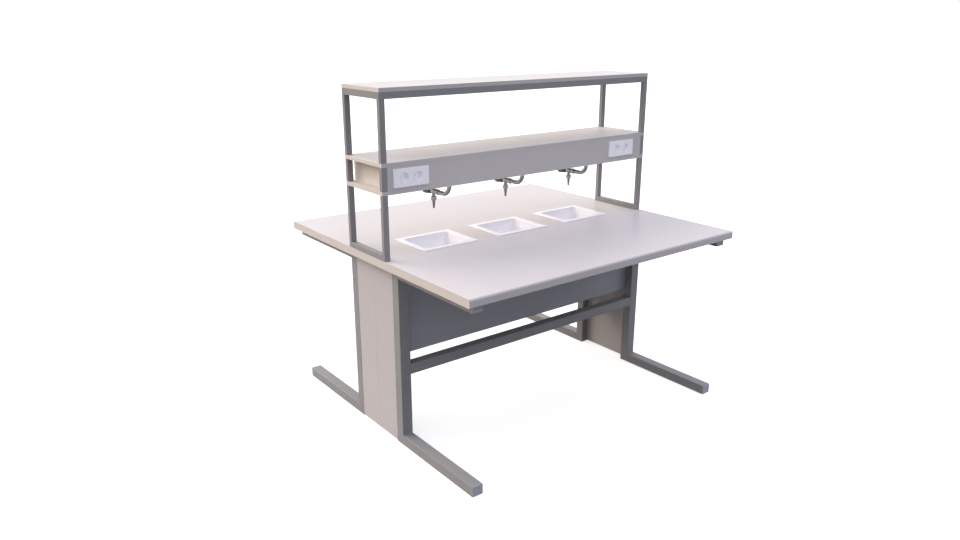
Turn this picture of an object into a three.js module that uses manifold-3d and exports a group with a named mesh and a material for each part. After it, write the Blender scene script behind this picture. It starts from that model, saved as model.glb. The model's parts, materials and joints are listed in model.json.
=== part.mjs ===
// Double-sided laboratory bench with a reagent shelf, service duct, water taps and cup sinks.
// Millimetres, +Z up. X runs along the bench and the front is at -Y.
// The origin is on the floor under the middle of the worktop.

import * as THREE from "three";
import { mergeVertices } from "three/addons/utils/BufferGeometryUtils.js";
import Module from "manifold-3d";

// Worktop: a post-formed slab with its long edges rounded over.
const WORKTOP_LENGTH = 1672;
const WORKTOP_DEPTH = 1558;
const WORKTOP_THICKNESS = 38;
const WORKTOP_HEIGHT = 900;
const WORKTOP_TOP_ROUND = 15;
const WORKTOP_UNDER_ROUND = 4;

// Underframe: four welded C-frames of rectangular steel tube, joined by two stretchers.
const TUBE_WIDTH = 55;
const TUBE_WALL = 2.5;
const COLUMN_DEPTH = 51;
const FOOT_HEIGHT = 49;
const ARM_HEIGHT = 35;
const FRAME_END_INSET = 32;
const FRAME_EDGE_INSET = 27;
const SPINE_DEPTH = 320;
const STRETCHER_BOTTOM = 352;
const STRETCHER_HEIGHT = 50;
const CAP_THICKNESS = 3;
const CAP_ROUND = 4;
const CAP_PLUG_DEPTH = 16;
const CAP_PLUG_WALL = 2.5;

// Panels under the worktop.
const MODESTY_THICKNESS = 18;
const MODESTY_BOTTOM = 440;
const CLADDING_THICKNESS = 10;
const CLADDING_RECESS = 4;
const CLADDING_BOTTOM = 6;
const CLADDING_SEAM = 1.5;

// Cup sinks, on the centre line of the worktop.
const CUP_PITCH = 447;
const CUP_FLANGE_LENGTH = 314;
const CUP_FLANGE_WIDTH = 260;
const CUP_FLANGE_THICKNESS = 4;
const CUP_FLANGE_ROUND = 5;
const CUP_RIM_WIDTH = 28;
const CUP_CORNER_ROUND = 38;
const CUP_LIP_ROUND = 2.5;
const CUP_DEPTH = 120;
const CUP_DRAFT = 12;
const CUP_FLOOR_ROUND = 18;
const CUP_FLOOR_FALL = 6;
const CUP_WALL = 4;
const CUP_OUTLET_BORE = 32;
const CUP_SPIGOT_LENGTH = 40;
const CUP_CUTOUT_CLEARANCE = 1.5;
const STRAINER_BAR = 3;
const STRAINER_DEPTH = 4;

// Waste pipe behind the modesty panels.
const WASTE_PIPE_DIAMETER = 54;
const WASTE_PIPE_WALL = 2.5;
const WASTE_SOCKET_WALL = 3;
const WASTE_SOCKET_DEPTH = 22;
const WASTE_DROP = 95;
const WASTE_END_LENGTH = 32;
const WASTE_OUTLET_HEIGHT = 480;

// Reagent shelf: steel tube frames that carry a service duct and a top board.
const SHELF_HEIGHT = 750;
const SHELF_DEPTH = 322;
const POST_WIDTH = 28;
const POST_DEPTH = 17;
const RAIL_HEIGHT = 26;
const SHELF_TUBE_WALL = 1.5;
const BOARD_THICKNESS = 18;
const DUCT_BOTTOM = 295;
const DUCT_TOP = 435;
const FASCIA_THICKNESS = 18;
const DUCT_END_INSET = 45;

// Double socket outlets in the front fascia.
const SOCKET_LEFT_FROM_END = 146;
const SOCKET_RIGHT_FROM_END = 188;
const SOCKET_PLATE_LENGTH = 183;
const SOCKET_PLATE_HEIGHT = 82;
const SOCKET_PLATE_THICKNESS = 8;
const SOCKET_PLATE_ROUND = 6;
const SOCKET_PLATE_BEVEL = 1.2;
const OUTLET_PITCH = 70;
const OUTLET_DIAMETER = 43;
const OUTLET_DEPTH = 17;
const OUTLET_WALL = 1.6;
const OUTLET_FLOOR = 3;
const PIN_HOLE_DIAMETER = 5;
const PIN_HOLE_SPACING = 19;
const EARTH_CLIP_WIDTH = 5;
const EARTH_CLIP_HEIGHT = 2.5;
const CARRIER_THICKNESS = 4;
const SOCKET_BOX_LENGTH = 142;
const SOCKET_BOX_HEIGHT = 60;
const SOCKET_BOX_DEPTH = 46;
const SOCKET_BOX_WALL = 2;

// Taps, hung from the lower board of the duct over the cup sinks.
const TAP_INLET_SETBACK = 51;
const TAP_REACH = 131;
const ROSE_DIAMETER = 38;
const ROSE_THICKNESS = 5;
const NECK_DIAMETER = 15;
const NECK_BORE = 11;
const NECK_BEND_RADIUS = 50;
const NECK_TAIL = 14;
const UNION_NUT_FLATS = 25;
const UNION_NUT_LENGTH = 16;
const VALVE_DIAMETER = 24;
const VALVE_EDGE = 2;
const VALVE_FRONT = 43;
const VALVE_BACK = 14;
const NECK_SOCKET_DEPTH = 10;
const BONNET_DIAMETER = 20;
const BONNET_LENGTH = 9;
const SPINDLE_DIAMETER = 8;
const SPINDLE_LENGTH = 18;
const OUTLET_STEM_DIAMETER = 18;
const OUTLET_STEM_DROP = 25;
const OUTLET_THREAD_DIAMETER = 14;
const OUTLET_THREAD_LENGTH = 13;
const NOZZLE_BORE = 6;
const NOZZLE_NUT_FLATS = 23;
const NOZZLE_NUT_HEIGHT = 18;
const NOZZLE_TAIL_LENGTH = 41;
const NOZZLE_TOP_DIAMETER = 12.5;
const NOZZLE_TIP_DIAMETER = 9.5;
const NOZZLE_BARBS = 6;
const NOZZLE_BARB_STEP = 0.9;
const HANDLE_LENGTH = 48;
const HANDLE_NECK_DIAMETER = 29;
const HANDLE_HEAD_DIAMETER = 37;
const HANDLE_NECK_ROUND = 2;
const HANDLE_HEAD_ROUND = 6;
const HANDLE_LOBES = 6;
const HANDLE_FLUTE_DEPTH = 1.5;

// Water feed pipe inside the duct.
const FEED_DIAMETER = 22;
const FEED_WALL = 1.5;
const FEED_TEE_DIAMETER = 24;
const FEED_RISE = 32;
const FEED_INLET_LENGTH = 70;

// Gap between pieces that slip into one another.
const FIT_GAP = 0.3;

// Facets of round pieces.
const ROUND_SIDES = 20;
const TUBE_SIDES = 12;
const PIN_SIDES = 6;
const LOBE_STEPS = 6;
const CORNER_STEPS = 4;
const SMALL_CORNER_STEPS = 2;
const BEND_STEPS = 8;

// Places worked out from the sizes above.
const WORKTOP_UNDERSIDE = WORKTOP_HEIGHT - WORKTOP_THICKNESS;
const FRAME_OUTER_X = WORKTOP_LENGTH / 2 - FRAME_END_INSET;
const FRAME_INNER_X = FRAME_OUTER_X - TUBE_WIDTH;
const FRAME_REACH_Y = WORKTOP_DEPTH / 2 - FRAME_EDGE_INSET;
const COLUMN_INNER_Y = SPINE_DEPTH / 2;
const CLADDING_OUTER_X = FRAME_OUTER_X - CLADDING_RECESS;
const CLADDING_INNER_X = CLADDING_OUTER_X - CLADDING_THICKNESS;
const SHELF_END_X = WORKTOP_LENGTH / 2;
const POST_INNER_X = SHELF_END_X - POST_WIDTH;
const SHELF_EDGE_Y = SHELF_DEPTH / 2;
const POST_INNER_Y = SHELF_EDGE_Y - POST_DEPTH;
const FASCIA_INNER_Y = SHELF_EDGE_Y - FASCIA_THICKNESS;
const DUCT_PANEL_X = SHELF_END_X - DUCT_END_INSET;
const DUCT_UNDERSIDE = WORKTOP_HEIGHT + DUCT_BOTTOM;
const DUCT_FLOOR = DUCT_UNDERSIDE + BOARD_THICKNESS;
const DUCT_UPPER_FACE = WORKTOP_HEIGHT + DUCT_TOP;
const DUCT_CEILING = DUCT_UPPER_FACE - BOARD_THICKNESS;
const SHELF_TOP = WORKTOP_HEIGHT + SHELF_HEIGHT;
const TOP_BOARD_UNDERSIDE = SHELF_TOP - BOARD_THICKNESS;
const TAP_INLET_Y = -SHELF_EDGE_Y + TAP_INLET_SETBACK;
const TAP_AXIS_DROP = ROSE_THICKNESS + NECK_BEND_RADIUS;
const VALVE_START = TAP_REACH - VALVE_FRONT;
const VALVE_END = TAP_REACH + VALVE_BACK;
const BONNET_END = VALVE_END + BONNET_LENGTH;

const wasm = await Module();
wasm.setup();

// Three finishes of sheet and board, two metals and three plastics make up the bench.
const FINISH = {
  laminate: { color: 0xe6dddc, roughness: 0.42, metalness: 0 },
  board: { color: 0xdcd5d0, roughness: 0.5, metalness: 0 },
  cladding: { color: 0xcfc6c0, roughness: 0.55, metalness: 0 },
  modesty: { color: 0x9b9da4, roughness: 0.55, metalness: 0 },
  frame: { color: 0x9a9a9c, roughness: 0.45, metalness: 0.2 },
  cap: { color: 0xa7a7a9, roughness: 0.6, metalness: 0 },
  sink: { color: 0xf4f4f6, roughness: 0.35, metalness: 0 },
  waste: { color: 0x8c8f92, roughness: 0.5, metalness: 0 },
  socket: { color: 0xf1f1f4, roughness: 0.3, metalness: 0 },
  socketBox: { color: 0x3b3d40, roughness: 0.6, metalness: 0 },
  chrome: { color: 0xb9bbbd, roughness: 0.22, metalness: 1 },
  copper: { color: 0xb87a52, roughness: 0.35, metalness: 1 },
  handle: { color: 0x1d4a2c, roughness: 0.35, metalness: 0 },
};

// A closed mesh as a solid for joining and cutting.
function solidOf(geometry) {
  const bare = geometry.clone();
  bare.deleteAttribute("normal");
  bare.deleteAttribute("uv");
  const merged = mergeVertices(bare, 1e-4);
  const mesh = new wasm.Mesh({
    numProp: 3,
    vertProperties: new Float32Array(merged.attributes.position.array),
    triVerts: new Uint32Array(merged.index.array),
  });
  return new wasm.Manifold(mesh);
}

function geometryOf(solid) {
  const { vertProperties, triVerts } = solid.getMesh();
  const geometry = new THREE.BufferGeometry();
  geometry.setAttribute("position", new THREE.BufferAttribute(vertProperties, 3));
  geometry.setIndex(new THREE.BufferAttribute(triVerts, 1));
  geometry.computeVertexNormals();
  return geometry;
}

// The pieces in added joined together, less the pieces in removed.
function carve(added, removed = []) {
  let solid = solidOf(added[0]);
  for (const piece of added.slice(1)) solid = solid.add(solidOf(piece));
  for (const piece of removed) solid = solid.subtract(solidOf(piece));
  return geometryOf(solid);
}

function box(low, high) {
  const size = high.map((value, axis) => value - low[axis]);
  const middle = high.map((value, axis) => (value + low[axis]) / 2);
  return new THREE.BoxGeometry(...size).translate(...middle);
}

// A round bar between two heights of its own axis, which is X, Y or Z through the point given.
function bar(axis, from, to, radius, [x, y, z], sides = ROUND_SIDES) {
  const geometry = new THREE.CylinderGeometry(radius, radius, to - from, sides);
  geometry.translate(0, (from + to) / 2, 0);
  if (axis === "x") geometry.rotateZ(-Math.PI / 2);
  if (axis === "z") geometry.rotateX(Math.PI / 2);
  return geometry.translate(x, y, z);
}

// A hexagon bar, by its width across the flats.
function hexBar(axis, from, to, flats, at) {
  return bar(axis, from, to, flats / Math.sqrt(3), at, 6);
}

// A solid of revolution about Y from a profile of [radius, height] that starts and ends on the axis.
function revolve(profile, sides = ROUND_SIDES) {
  const points = profile.map(([radius, height]) => new THREE.Vector2(radius, height));
  return new THREE.LatheGeometry(points, sides);
}

// A skin over rings of points. A closed skin runs from the last ring back to the first.
function skin(rings, closed) {
  const count = rings[0].length;
  const positions = rings.flat().flatMap((point) => point.toArray());
  const index = [];
  const last = closed ? rings.length : rings.length - 1;
  for (let ring = 0; ring < last; ring++) {
    const here = ring * count;
    const next = ((ring + 1) % rings.length) * count;
    for (let i = 0; i < count; i++) {
      const j = (i + 1) % count;
      index.push(here + i, here + j, next + j, here + i, next + j, next + i);
    }
  }
  if (!closed) {
    const end = (rings.length - 1) * count;
    for (let i = 1; i < count - 1; i++) {
      index.push(0, i + 1, i, end, end + i, end + i + 1);
    }
  }
  const geometry = new THREE.BufferGeometry();
  geometry.setAttribute("position", new THREE.Float32BufferAttribute(positions, 3));
  geometry.setIndex(index);
  return geometry;
}

// A rounded rectangle of points at one height, anticlockwise. Equal sizes make a circle.
function roundedRing(halfLength, halfWidth, round, height, steps = CORNER_STEPS) {
  const points = [];
  for (let corner = 0; corner < 4; corner++) {
    const signX = corner === 0 || corner === 3 ? 1 : -1;
    const signY = corner < 2 ? 1 : -1;
    for (let step = 0; step <= steps; step++) {
      const angle = (corner + step / steps) * (Math.PI / 2);
      const x = signX * (halfLength - round) + round * Math.cos(angle);
      const y = signY * (halfWidth - round) + round * Math.sin(angle);
      points.push(new THREE.Vector3(x, y, height));
    }
  }
  return points;
}

function roundedRectangle(length, height, round) {
  const ring = roundedRing(length / 2, height / 2, round, 0, SMALL_CORNER_STEPS);
  return new THREE.Shape(ring.map(({ x, y }) => new THREE.Vector2(x, y)));
}

// An outline drawn in X and Z, thickened towards -Y from the plane at backY.
function plateFacingFront(shape, backY, options) {
  const turn = new THREE.Matrix4().makeBasis(
    new THREE.Vector3(1, 0, 0),
    new THREE.Vector3(0, 0, 1),
    new THREE.Vector3(0, -1, 0),
  );
  return new THREE.ExtrudeGeometry(shape, options).applyMatrix4(turn).translate(0, backY, 0);
}

function piece(name, geometry, finish) {
  const mesh = new THREE.Mesh(geometry, new THREE.MeshStandardMaterial(FINISH[finish]));
  mesh.name = name;
  return mesh;
}

// Centre of each cup sink, and of the tap over it.
const STATIONS_X = [-CUP_PITCH, 0, CUP_PITCH];

// The bowl's mouth, and the outside of the bowl under the flange.
const MOUTH_X = CUP_FLANGE_LENGTH / 2 - CUP_RIM_WIDTH;
const MOUTH_Y = CUP_FLANGE_WIDTH / 2 - CUP_RIM_WIDTH;
const BOWL_X = MOUTH_X + CUP_WALL;
const BOWL_Y = MOUTH_Y + CUP_WALL;
const BOWL_ROUND = CUP_CORNER_ROUND + CUP_WALL;
const SPIGOT_RADIUS = CUP_OUTLET_BORE / 2 + CUP_WALL;
const SPIGOT_BOTTOM = WORKTOP_HEIGHT - CUP_DEPTH - CUP_WALL - CUP_SPIGOT_LENGTH;

function worktopProfile() {
  const edge = WORKTOP_DEPTH / 2;
  const top = WORKTOP_THICKNESS;
  const over = WORKTOP_TOP_ROUND;
  const under = WORKTOP_UNDER_ROUND;
  const shape = new THREE.Shape();
  shape.absarc(edge - over, top - over, over, 0, Math.PI / 2);
  shape.absarc(-edge + over, top - over, over, Math.PI / 2, Math.PI);
  shape.absarc(-edge + under, under, under, Math.PI, (Math.PI * 3) / 2);
  shape.absarc(edge - under, under, under, (Math.PI * 3) / 2, Math.PI * 2);
  return shape;
}

function worktopGeometry() {
  const slab = new THREE.ExtrudeGeometry(worktopProfile(), {
    depth: WORKTOP_LENGTH,
    bevelEnabled: false,
    curveSegments: SMALL_CORNER_STEPS,
  });
  const turn = new THREE.Matrix4().makeBasis(
    new THREE.Vector3(0, 1, 0),
    new THREE.Vector3(0, 0, 1),
    new THREE.Vector3(1, 0, 0),
  );
  slab.applyMatrix4(turn).translate(-WORKTOP_LENGTH / 2, 0, WORKTOP_UNDERSIDE);
  const cutouts = STATIONS_X.map((x) => {
    const halfLength = BOWL_X + CUP_CUTOUT_CLEARANCE;
    const halfWidth = BOWL_Y + CUP_CUTOUT_CLEARANCE;
    const round = BOWL_ROUND + CUP_CUTOUT_CLEARANCE;
    const low = roundedRing(halfLength, halfWidth, round, WORKTOP_UNDERSIDE - 1);
    const high = roundedRing(halfLength, halfWidth, round, WORKTOP_HEIGHT + 1);
    return skin([low, high], false).translate(x, 0, 0);
  });
  return carve([slab], cutouts);
}

// One moulding: flat flange, drafted bowl, floor that falls to the outlet, spigot and strainer cross.
function cupSinkGeometry() {
  const bore = CUP_OUTLET_BORE / 2;
  const flangeX = CUP_FLANGE_LENGTH / 2;
  const flangeY = CUP_FLANGE_WIDTH / 2;
  const edge = CUP_FLANGE_THICKNESS / 3;
  const top = CUP_FLANGE_THICKNESS;
  const wallFoot = -CUP_DEPTH + CUP_FLOOR_FALL + CUP_FLOOR_ROUND;
  const floorEdge = -CUP_DEPTH + CUP_FLOOR_FALL;
  const footX = MOUTH_X - CUP_DRAFT;
  const footY = MOUTH_Y - CUP_DRAFT;
  const floorX = footX - CUP_FLOOR_ROUND;
  const floorY = footY - CUP_FLOOR_ROUND;
  const kneeShare = 1 - Math.SQRT1_2;
  const kneeX = footX - CUP_FLOOR_ROUND * kneeShare;
  const kneeY = footY - CUP_FLOOR_ROUND * kneeShare;
  const kneeZ = floorEdge + CUP_FLOOR_ROUND * kneeShare;
  const floorCorner = CUP_CORNER_ROUND - CUP_FLOOR_ROUND / 2;
  const spigotFoot = -CUP_DEPTH - CUP_WALL - CUP_SPIGOT_LENGTH;
  const rings = [
    roundedRing(flangeX, flangeY, CUP_FLANGE_ROUND, 0),
    roundedRing(flangeX, flangeY, CUP_FLANGE_ROUND, top - edge),
    roundedRing(flangeX - edge, flangeY - edge, CUP_FLANGE_ROUND, top),
    roundedRing(MOUTH_X + CUP_LIP_ROUND, MOUTH_Y + CUP_LIP_ROUND, CUP_CORNER_ROUND + CUP_LIP_ROUND, top),
    roundedRing(MOUTH_X, MOUTH_Y, CUP_CORNER_ROUND, top - CUP_LIP_ROUND),
    roundedRing(footX, footY, CUP_CORNER_ROUND, wallFoot),
    roundedRing(kneeX, kneeY, CUP_CORNER_ROUND, kneeZ),
    roundedRing(floorX, floorY, floorCorner, floorEdge),
    roundedRing(bore, bore, bore, -CUP_DEPTH),
    roundedRing(bore, bore, bore, spigotFoot),
    roundedRing(SPIGOT_RADIUS, SPIGOT_RADIUS, SPIGOT_RADIUS, spigotFoot),
    roundedRing(SPIGOT_RADIUS, SPIGOT_RADIUS, SPIGOT_RADIUS, -CUP_DEPTH - CUP_WALL),
    roundedRing(floorX, floorY, floorCorner, floorEdge - CUP_WALL),
    roundedRing(kneeX + CUP_WALL, kneeY + CUP_WALL, BOWL_ROUND, kneeZ - CUP_WALL),
    roundedRing(footX + CUP_WALL, footY + CUP_WALL, BOWL_ROUND, wallFoot),
    roundedRing(BOWL_X, BOWL_Y, BOWL_ROUND, 0),
  ];
  const reach = bore + CUP_WALL / 2;
  const half = STRAINER_BAR / 2;
  const crossTop = -CUP_DEPTH - CUP_WALL;
  const crossFoot = crossTop - STRAINER_DEPTH;
  const cross = [
    box([-reach, -half, crossFoot], [reach, half, crossTop]),
    box([-half, -reach, crossFoot], [half, reach, crossTop]),
  ];
  return carve([skin(rings, true), ...cross]);
}

// Waste pipe along the bench, with a socket for each cup's spigot and an open end that turns down.
function wastePipeGeometry() {
  const radius = WASTE_PIPE_DIAMETER / 2;
  const bore = radius - WASTE_PIPE_WALL;
  const axisZ = SPIGOT_BOTTOM - WASTE_DROP;
  const socketBore = SPIGOT_RADIUS + FIT_GAP;
  const socketRadius = socketBore + WASTE_SOCKET_WALL;
  const branchBore = CUP_OUTLET_BORE / 2;
  const socketTop = SPIGOT_BOTTOM + WASTE_SOCKET_DEPTH;
  const startX = -CUP_PITCH - WASTE_END_LENGTH;
  const endX = CUP_PITCH + WASTE_END_LENGTH;
  const run = [0, 0, axisZ];
  const added = [bar("x", startX, endX, radius, run, TUBE_SIDES)];
  const removed = [bar("x", startX + WASTE_PIPE_WALL, endX - WASTE_PIPE_WALL, bore, run, TUBE_SIDES)];
  for (const x of STATIONS_X) {
    added.push(bar("z", axisZ, socketTop, socketRadius, [x, 0, 0]));
    removed.push(bar("z", SPIGOT_BOTTOM - FIT_GAP, socketTop + 1, socketBore, [x, 0, 0]));
    removed.push(bar("z", axisZ, SPIGOT_BOTTOM, branchBore, [x, 0, 0], TUBE_SIDES));
  }
  const outlet = [CUP_PITCH, 0, 0];
  added.push(bar("z", WASTE_OUTLET_HEIGHT, axisZ, radius, outlet, TUBE_SIDES));
  removed.push(bar("z", WASTE_OUTLET_HEIGHT - 1, axisZ, bore, outlet, TUBE_SIDES));
  return carve(added, removed);
}

// One C-frame in front of its own origin, which lies between the columns: foot, column and arm.
function cFrameGeometry() {
  const half = TUBE_WIDTH / 2;
  const inner = half - TUBE_WALL;
  const back = -COLUMN_INNER_Y;
  const front = back - COLUMN_DEPTH;
  const tip = -FRAME_REACH_Y + CAP_THICKNESS;
  const armFoot = WORKTOP_UNDERSIDE - ARM_HEIGHT;
  const wall = TUBE_WALL;
  const tubes = [
    box([-half, tip, 0], [half, back, FOOT_HEIGHT]),
    box([-half, front, 0], [half, back, WORKTOP_UNDERSIDE]),
    box([-half, tip, armFoot], [half, back, WORKTOP_UNDERSIDE]),
  ];
  const hollows = [
    box([-inner, tip - 1, wall], [inner, back - wall, FOOT_HEIGHT - wall]),
    box([-inner, front + wall, wall], [inner, back - wall, WORKTOP_UNDERSIDE - wall]),
    box([-inner, tip - 1, armFoot + wall], [inner, back - wall, WORKTOP_UNDERSIDE - wall]),
  ];
  return carve(tubes, hollows);
}

// End cap of a tube: a face plate with a hollow plug that slips into the tube.
function tubeCapGeometry(height) {
  const plate = new THREE.ExtrudeGeometry(roundedRectangle(TUBE_WIDTH, height, CAP_ROUND), {
    depth: CAP_THICKNESS,
    bevelEnabled: false,
  });
  plate.rotateX(Math.PI / 2);
  const plugX = TUBE_WIDTH / 2 - TUBE_WALL - FIT_GAP;
  const plugZ = height / 2 - TUBE_WALL - FIT_GAP;
  const hollowX = plugX - CAP_PLUG_WALL;
  const hollowZ = plugZ - CAP_PLUG_WALL;
  const overlap = CAP_THICKNESS / 2;
  const plug = box([-plugX, -overlap, -plugZ], [plugX, CAP_PLUG_DEPTH, plugZ]);
  const hollow = box([-hollowX, 0, -hollowZ], [hollowX, CAP_PLUG_DEPTH + 1, hollowZ]);
  return carve([plate, plug], [hollow]);
}

function stretcherGeometry() {
  const end = FRAME_INNER_X;
  const front = -COLUMN_INNER_Y - COLUMN_DEPTH;
  const top = STRETCHER_BOTTOM + STRETCHER_HEIGHT;
  const wall = TUBE_WALL;
  const tube = box([-end, front, STRETCHER_BOTTOM], [end, -COLUMN_INNER_Y, top]);
  const hollow = box(
    [-end - 1, front + wall, STRETCHER_BOTTOM + wall],
    [end + 1, -COLUMN_INNER_Y - wall, top - wall],
  );
  return carve([tube], [hollow]);
}

function modestyPanelGeometry() {
  const front = -COLUMN_INNER_Y;
  return box(
    [-CLADDING_INNER_X, front, MODESTY_BOTTOM],
    [CLADDING_INNER_X, front + MODESTY_THICKNESS, WORKTOP_UNDERSIDE],
  );
}

// The front half of an end's cladding, standing between the columns.
function claddingGeometry() {
  return box(
    [CLADDING_INNER_X, -COLUMN_INNER_Y, CLADDING_BOTTOM],
    [CLADDING_OUTER_X, -CLADDING_SEAM / 2, WORKTOP_UNDERSIDE],
  );
}

// A shelf tube between two corners, and the hollow inside it, which overruns the open ends.
function shelfTube(low, high, openAxis) {
  const hollowLow = low.map((value, axis) => value + (axis === openAxis ? -1 : SHELF_TUBE_WALL));
  const hollowHigh = high.map((value, axis) => value - (axis === openAxis ? -1 : SHELF_TUBE_WALL));
  return { tube: box(low, high), hollow: box(hollowLow, hollowHigh) };
}

// Foot of the shelf at the right end: a rail on the worktop with a post at each side, open at the top.
function shelfBaseGeometry() {
  const railTop = WORKTOP_HEIGHT + RAIL_HEIGHT;
  const rail = shelfTube([POST_INNER_X, -SHELF_EDGE_Y, WORKTOP_HEIGHT], [SHELF_END_X, SHELF_EDGE_Y, railTop]);
  const posts = [-SHELF_EDGE_Y, POST_INNER_Y].map((y) => {
    const low = [POST_INNER_X, y, WORKTOP_HEIGHT];
    const high = [SHELF_END_X, y + POST_DEPTH, DUCT_UNDERSIDE];
    const hollowLow = [low[0] + SHELF_TUBE_WALL, y + SHELF_TUBE_WALL, low[2] + SHELF_TUBE_WALL];
    const hollowHigh = [high[0] - SHELF_TUBE_WALL, high[1] - SHELF_TUBE_WALL, high[2] + 1];
    return { tube: box(low, high), hollow: box(hollowLow, hollowHigh) };
  });
  const tubes = [rail, ...posts];
  return carve(tubes.map((t) => t.tube), tubes.map((t) => t.hollow));
}

// Top of the shelf: a ring of rails on four posts, which are open where they stand on the duct.
function shelfUpperFrameGeometry() {
  const railFoot = TOP_BOARD_UNDERSIDE - RAIL_HEIGHT;
  const tubes = [];
  for (const y of [-SHELF_EDGE_Y, POST_INNER_Y]) {
    const low = [-SHELF_END_X, y, railFoot];
    const high = [SHELF_END_X, y + POST_DEPTH, TOP_BOARD_UNDERSIDE];
    tubes.push(shelfTube(low, high));
  }
  for (const x of [-SHELF_END_X, POST_INNER_X]) {
    const low = [x, -SHELF_EDGE_Y, railFoot];
    const high = [x + POST_WIDTH, SHELF_EDGE_Y, TOP_BOARD_UNDERSIDE];
    tubes.push(shelfTube(low, high));
    for (const y of [-SHELF_EDGE_Y, POST_INNER_Y]) {
      const foot = [x, y, DUCT_UPPER_FACE];
      const head = [x + POST_WIDTH, y + POST_DEPTH, TOP_BOARD_UNDERSIDE];
      const hollowLow = [x + SHELF_TUBE_WALL, y + SHELF_TUBE_WALL, DUCT_UPPER_FACE - 1];
      const hollowHigh = head.map((value) => value - SHELF_TUBE_WALL);
      tubes.push({ tube: box(foot, head), hollow: box(hollowLow, hollowHigh) });
    }
  }
  return carve(tubes.map((t) => t.tube), tubes.map((t) => t.hollow));
}

// A short post between the duct's two boards, at the front right corner.
function ductPostGeometry() {
  const low = [POST_INNER_X, -SHELF_EDGE_Y, DUCT_FLOOR];
  const high = [SHELF_END_X, -POST_INNER_Y, DUCT_CEILING];
  const { tube, hollow } = shelfTube(low, high, 2);
  return carve([tube], [hollow]);
}

function shelfBoardGeometry(underside) {
  return box(
    [-SHELF_END_X, -SHELF_EDGE_Y, underside],
    [SHELF_END_X, SHELF_EDGE_Y, underside + BOARD_THICKNESS],
  );
}

// The lower board has a hole for the tail of each tap.
function ductLowerBoardGeometry() {
  const radius = NECK_DIAMETER / 2 + FIT_GAP;
  const holes = STATIONS_X.map((x) =>
    bar("z", DUCT_UNDERSIDE - 1, DUCT_FLOOR + 1, radius, [x, TAP_INLET_Y, 0], TUBE_SIDES),
  );
  return carve([shelfBoardGeometry(DUCT_UNDERSIDE)], holes);
}

const SOCKET_CENTRES_X = {
  left: -SHELF_END_X + SOCKET_LEFT_FROM_END,
  right: SHELF_END_X - SOCKET_RIGHT_FROM_END,
};
const SOCKET_CENTRE_Z = (DUCT_FLOOR + DUCT_CEILING) / 2;
const OUTLETS_X = [-OUTLET_PITCH / 2, OUTLET_PITCH / 2];

function frontFasciaGeometry() {
  const board = box([-POST_INNER_X, -SHELF_EDGE_Y, DUCT_FLOOR], [POST_INNER_X, -FASCIA_INNER_Y, DUCT_CEILING]);
  const halfLength = SOCKET_BOX_LENGTH / 2;
  const halfHeight = SOCKET_BOX_HEIGHT / 2;
  const cutouts = Object.values(SOCKET_CENTRES_X).map((x) =>
    box(
      [x - halfLength, -SHELF_EDGE_Y - 1, SOCKET_CENTRE_Z - halfHeight],
      [x + halfLength, -FASCIA_INNER_Y + 1, SOCKET_CENTRE_Z + halfHeight],
    ),
  );
  return carve([board], cutouts);
}

function backFasciaGeometry() {
  return box([-DUCT_PANEL_X, FASCIA_INNER_Y, DUCT_FLOOR], [DUCT_PANEL_X, SHELF_EDGE_Y, DUCT_CEILING]);
}

function ductEndPanelGeometry() {
  return box(
    [DUCT_PANEL_X - BOARD_THICKNESS, -FASCIA_INNER_Y, DUCT_FLOOR],
    [DUCT_PANEL_X, FASCIA_INNER_Y, DUCT_CEILING],
  );
}

// A socket's pieces have their origin on the fascia's face, in the middle of the plate.
function socketPlateGeometry() {
  const shape = roundedRectangle(SOCKET_PLATE_LENGTH, SOCKET_PLATE_HEIGHT, SOCKET_PLATE_ROUND);
  const window = OUTLET_DIAMETER / 2 + OUTLET_WALL + FIT_GAP;
  for (const x of OUTLETS_X) {
    shape.holes.push(new THREE.Path().absarc(x, 0, window, 0, Math.PI * 2, true));
  }
  return plateFacingFront(shape, -SOCKET_PLATE_BEVEL, {
    depth: SOCKET_PLATE_THICKNESS - 2 * SOCKET_PLATE_BEVEL,
    bevelThickness: SOCKET_PLATE_BEVEL,
    bevelSize: SOCKET_PLATE_BEVEL,
    bevelOffset: -SOCKET_PLATE_BEVEL,
    bevelSegments: 1,
    curveSegments: ROUND_SIDES / 2,
  });
}

// Two outlet wells on one carrier, each with contact holes and earth clips above and below.
function socketInsertGeometry() {
  const well = OUTLET_DIAMETER / 2;
  const outer = well + OUTLET_WALL;
  const face = -SOCKET_PLATE_THICKNESS;
  const wellFloor = face + OUTLET_DEPTH;
  const back = wellFloor + OUTLET_FLOOR;
  const carrierX = SOCKET_BOX_LENGTH / 2 - FIT_GAP;
  const carrierZ = SOCKET_BOX_HEIGHT / 2 - FIT_GAP;
  const added = [box([-carrierX, FIT_GAP, -carrierZ], [carrierX, FIT_GAP + CARRIER_THICKNESS, carrierZ])];
  const removed = [];
  const clips = [];
  for (const x of OUTLETS_X) {
    added.push(bar("y", face, back, outer, [x, 0, 0]));
    removed.push(bar("y", face - 1, wellFloor, well, [x, 0, 0]));
    for (const side of [-1, 1]) {
      const pin = [x + (side * PIN_HOLE_SPACING) / 2, 0, 0];
      removed.push(bar("y", wellFloor - 1, back + 1, PIN_HOLE_DIAMETER / 2, pin, PIN_SIDES));
      const clipTop = side * (well + OUTLET_WALL / 2);
      const clipFoot = side * (well - EARTH_CLIP_HEIGHT);
      clips.push(
        box(
          [x - EARTH_CLIP_WIDTH / 2, face + OUTLET_DEPTH / 3, Math.min(clipTop, clipFoot)],
          [x + EARTH_CLIP_WIDTH / 2, wellFloor + OUTLET_FLOOR / 2, Math.max(clipTop, clipFoot)],
        ),
      );
    }
  }
  let solid = solidOf(carve(added, removed));
  for (const clip of clips) solid = solid.add(solidOf(clip));
  return geometryOf(solid);
}

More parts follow.
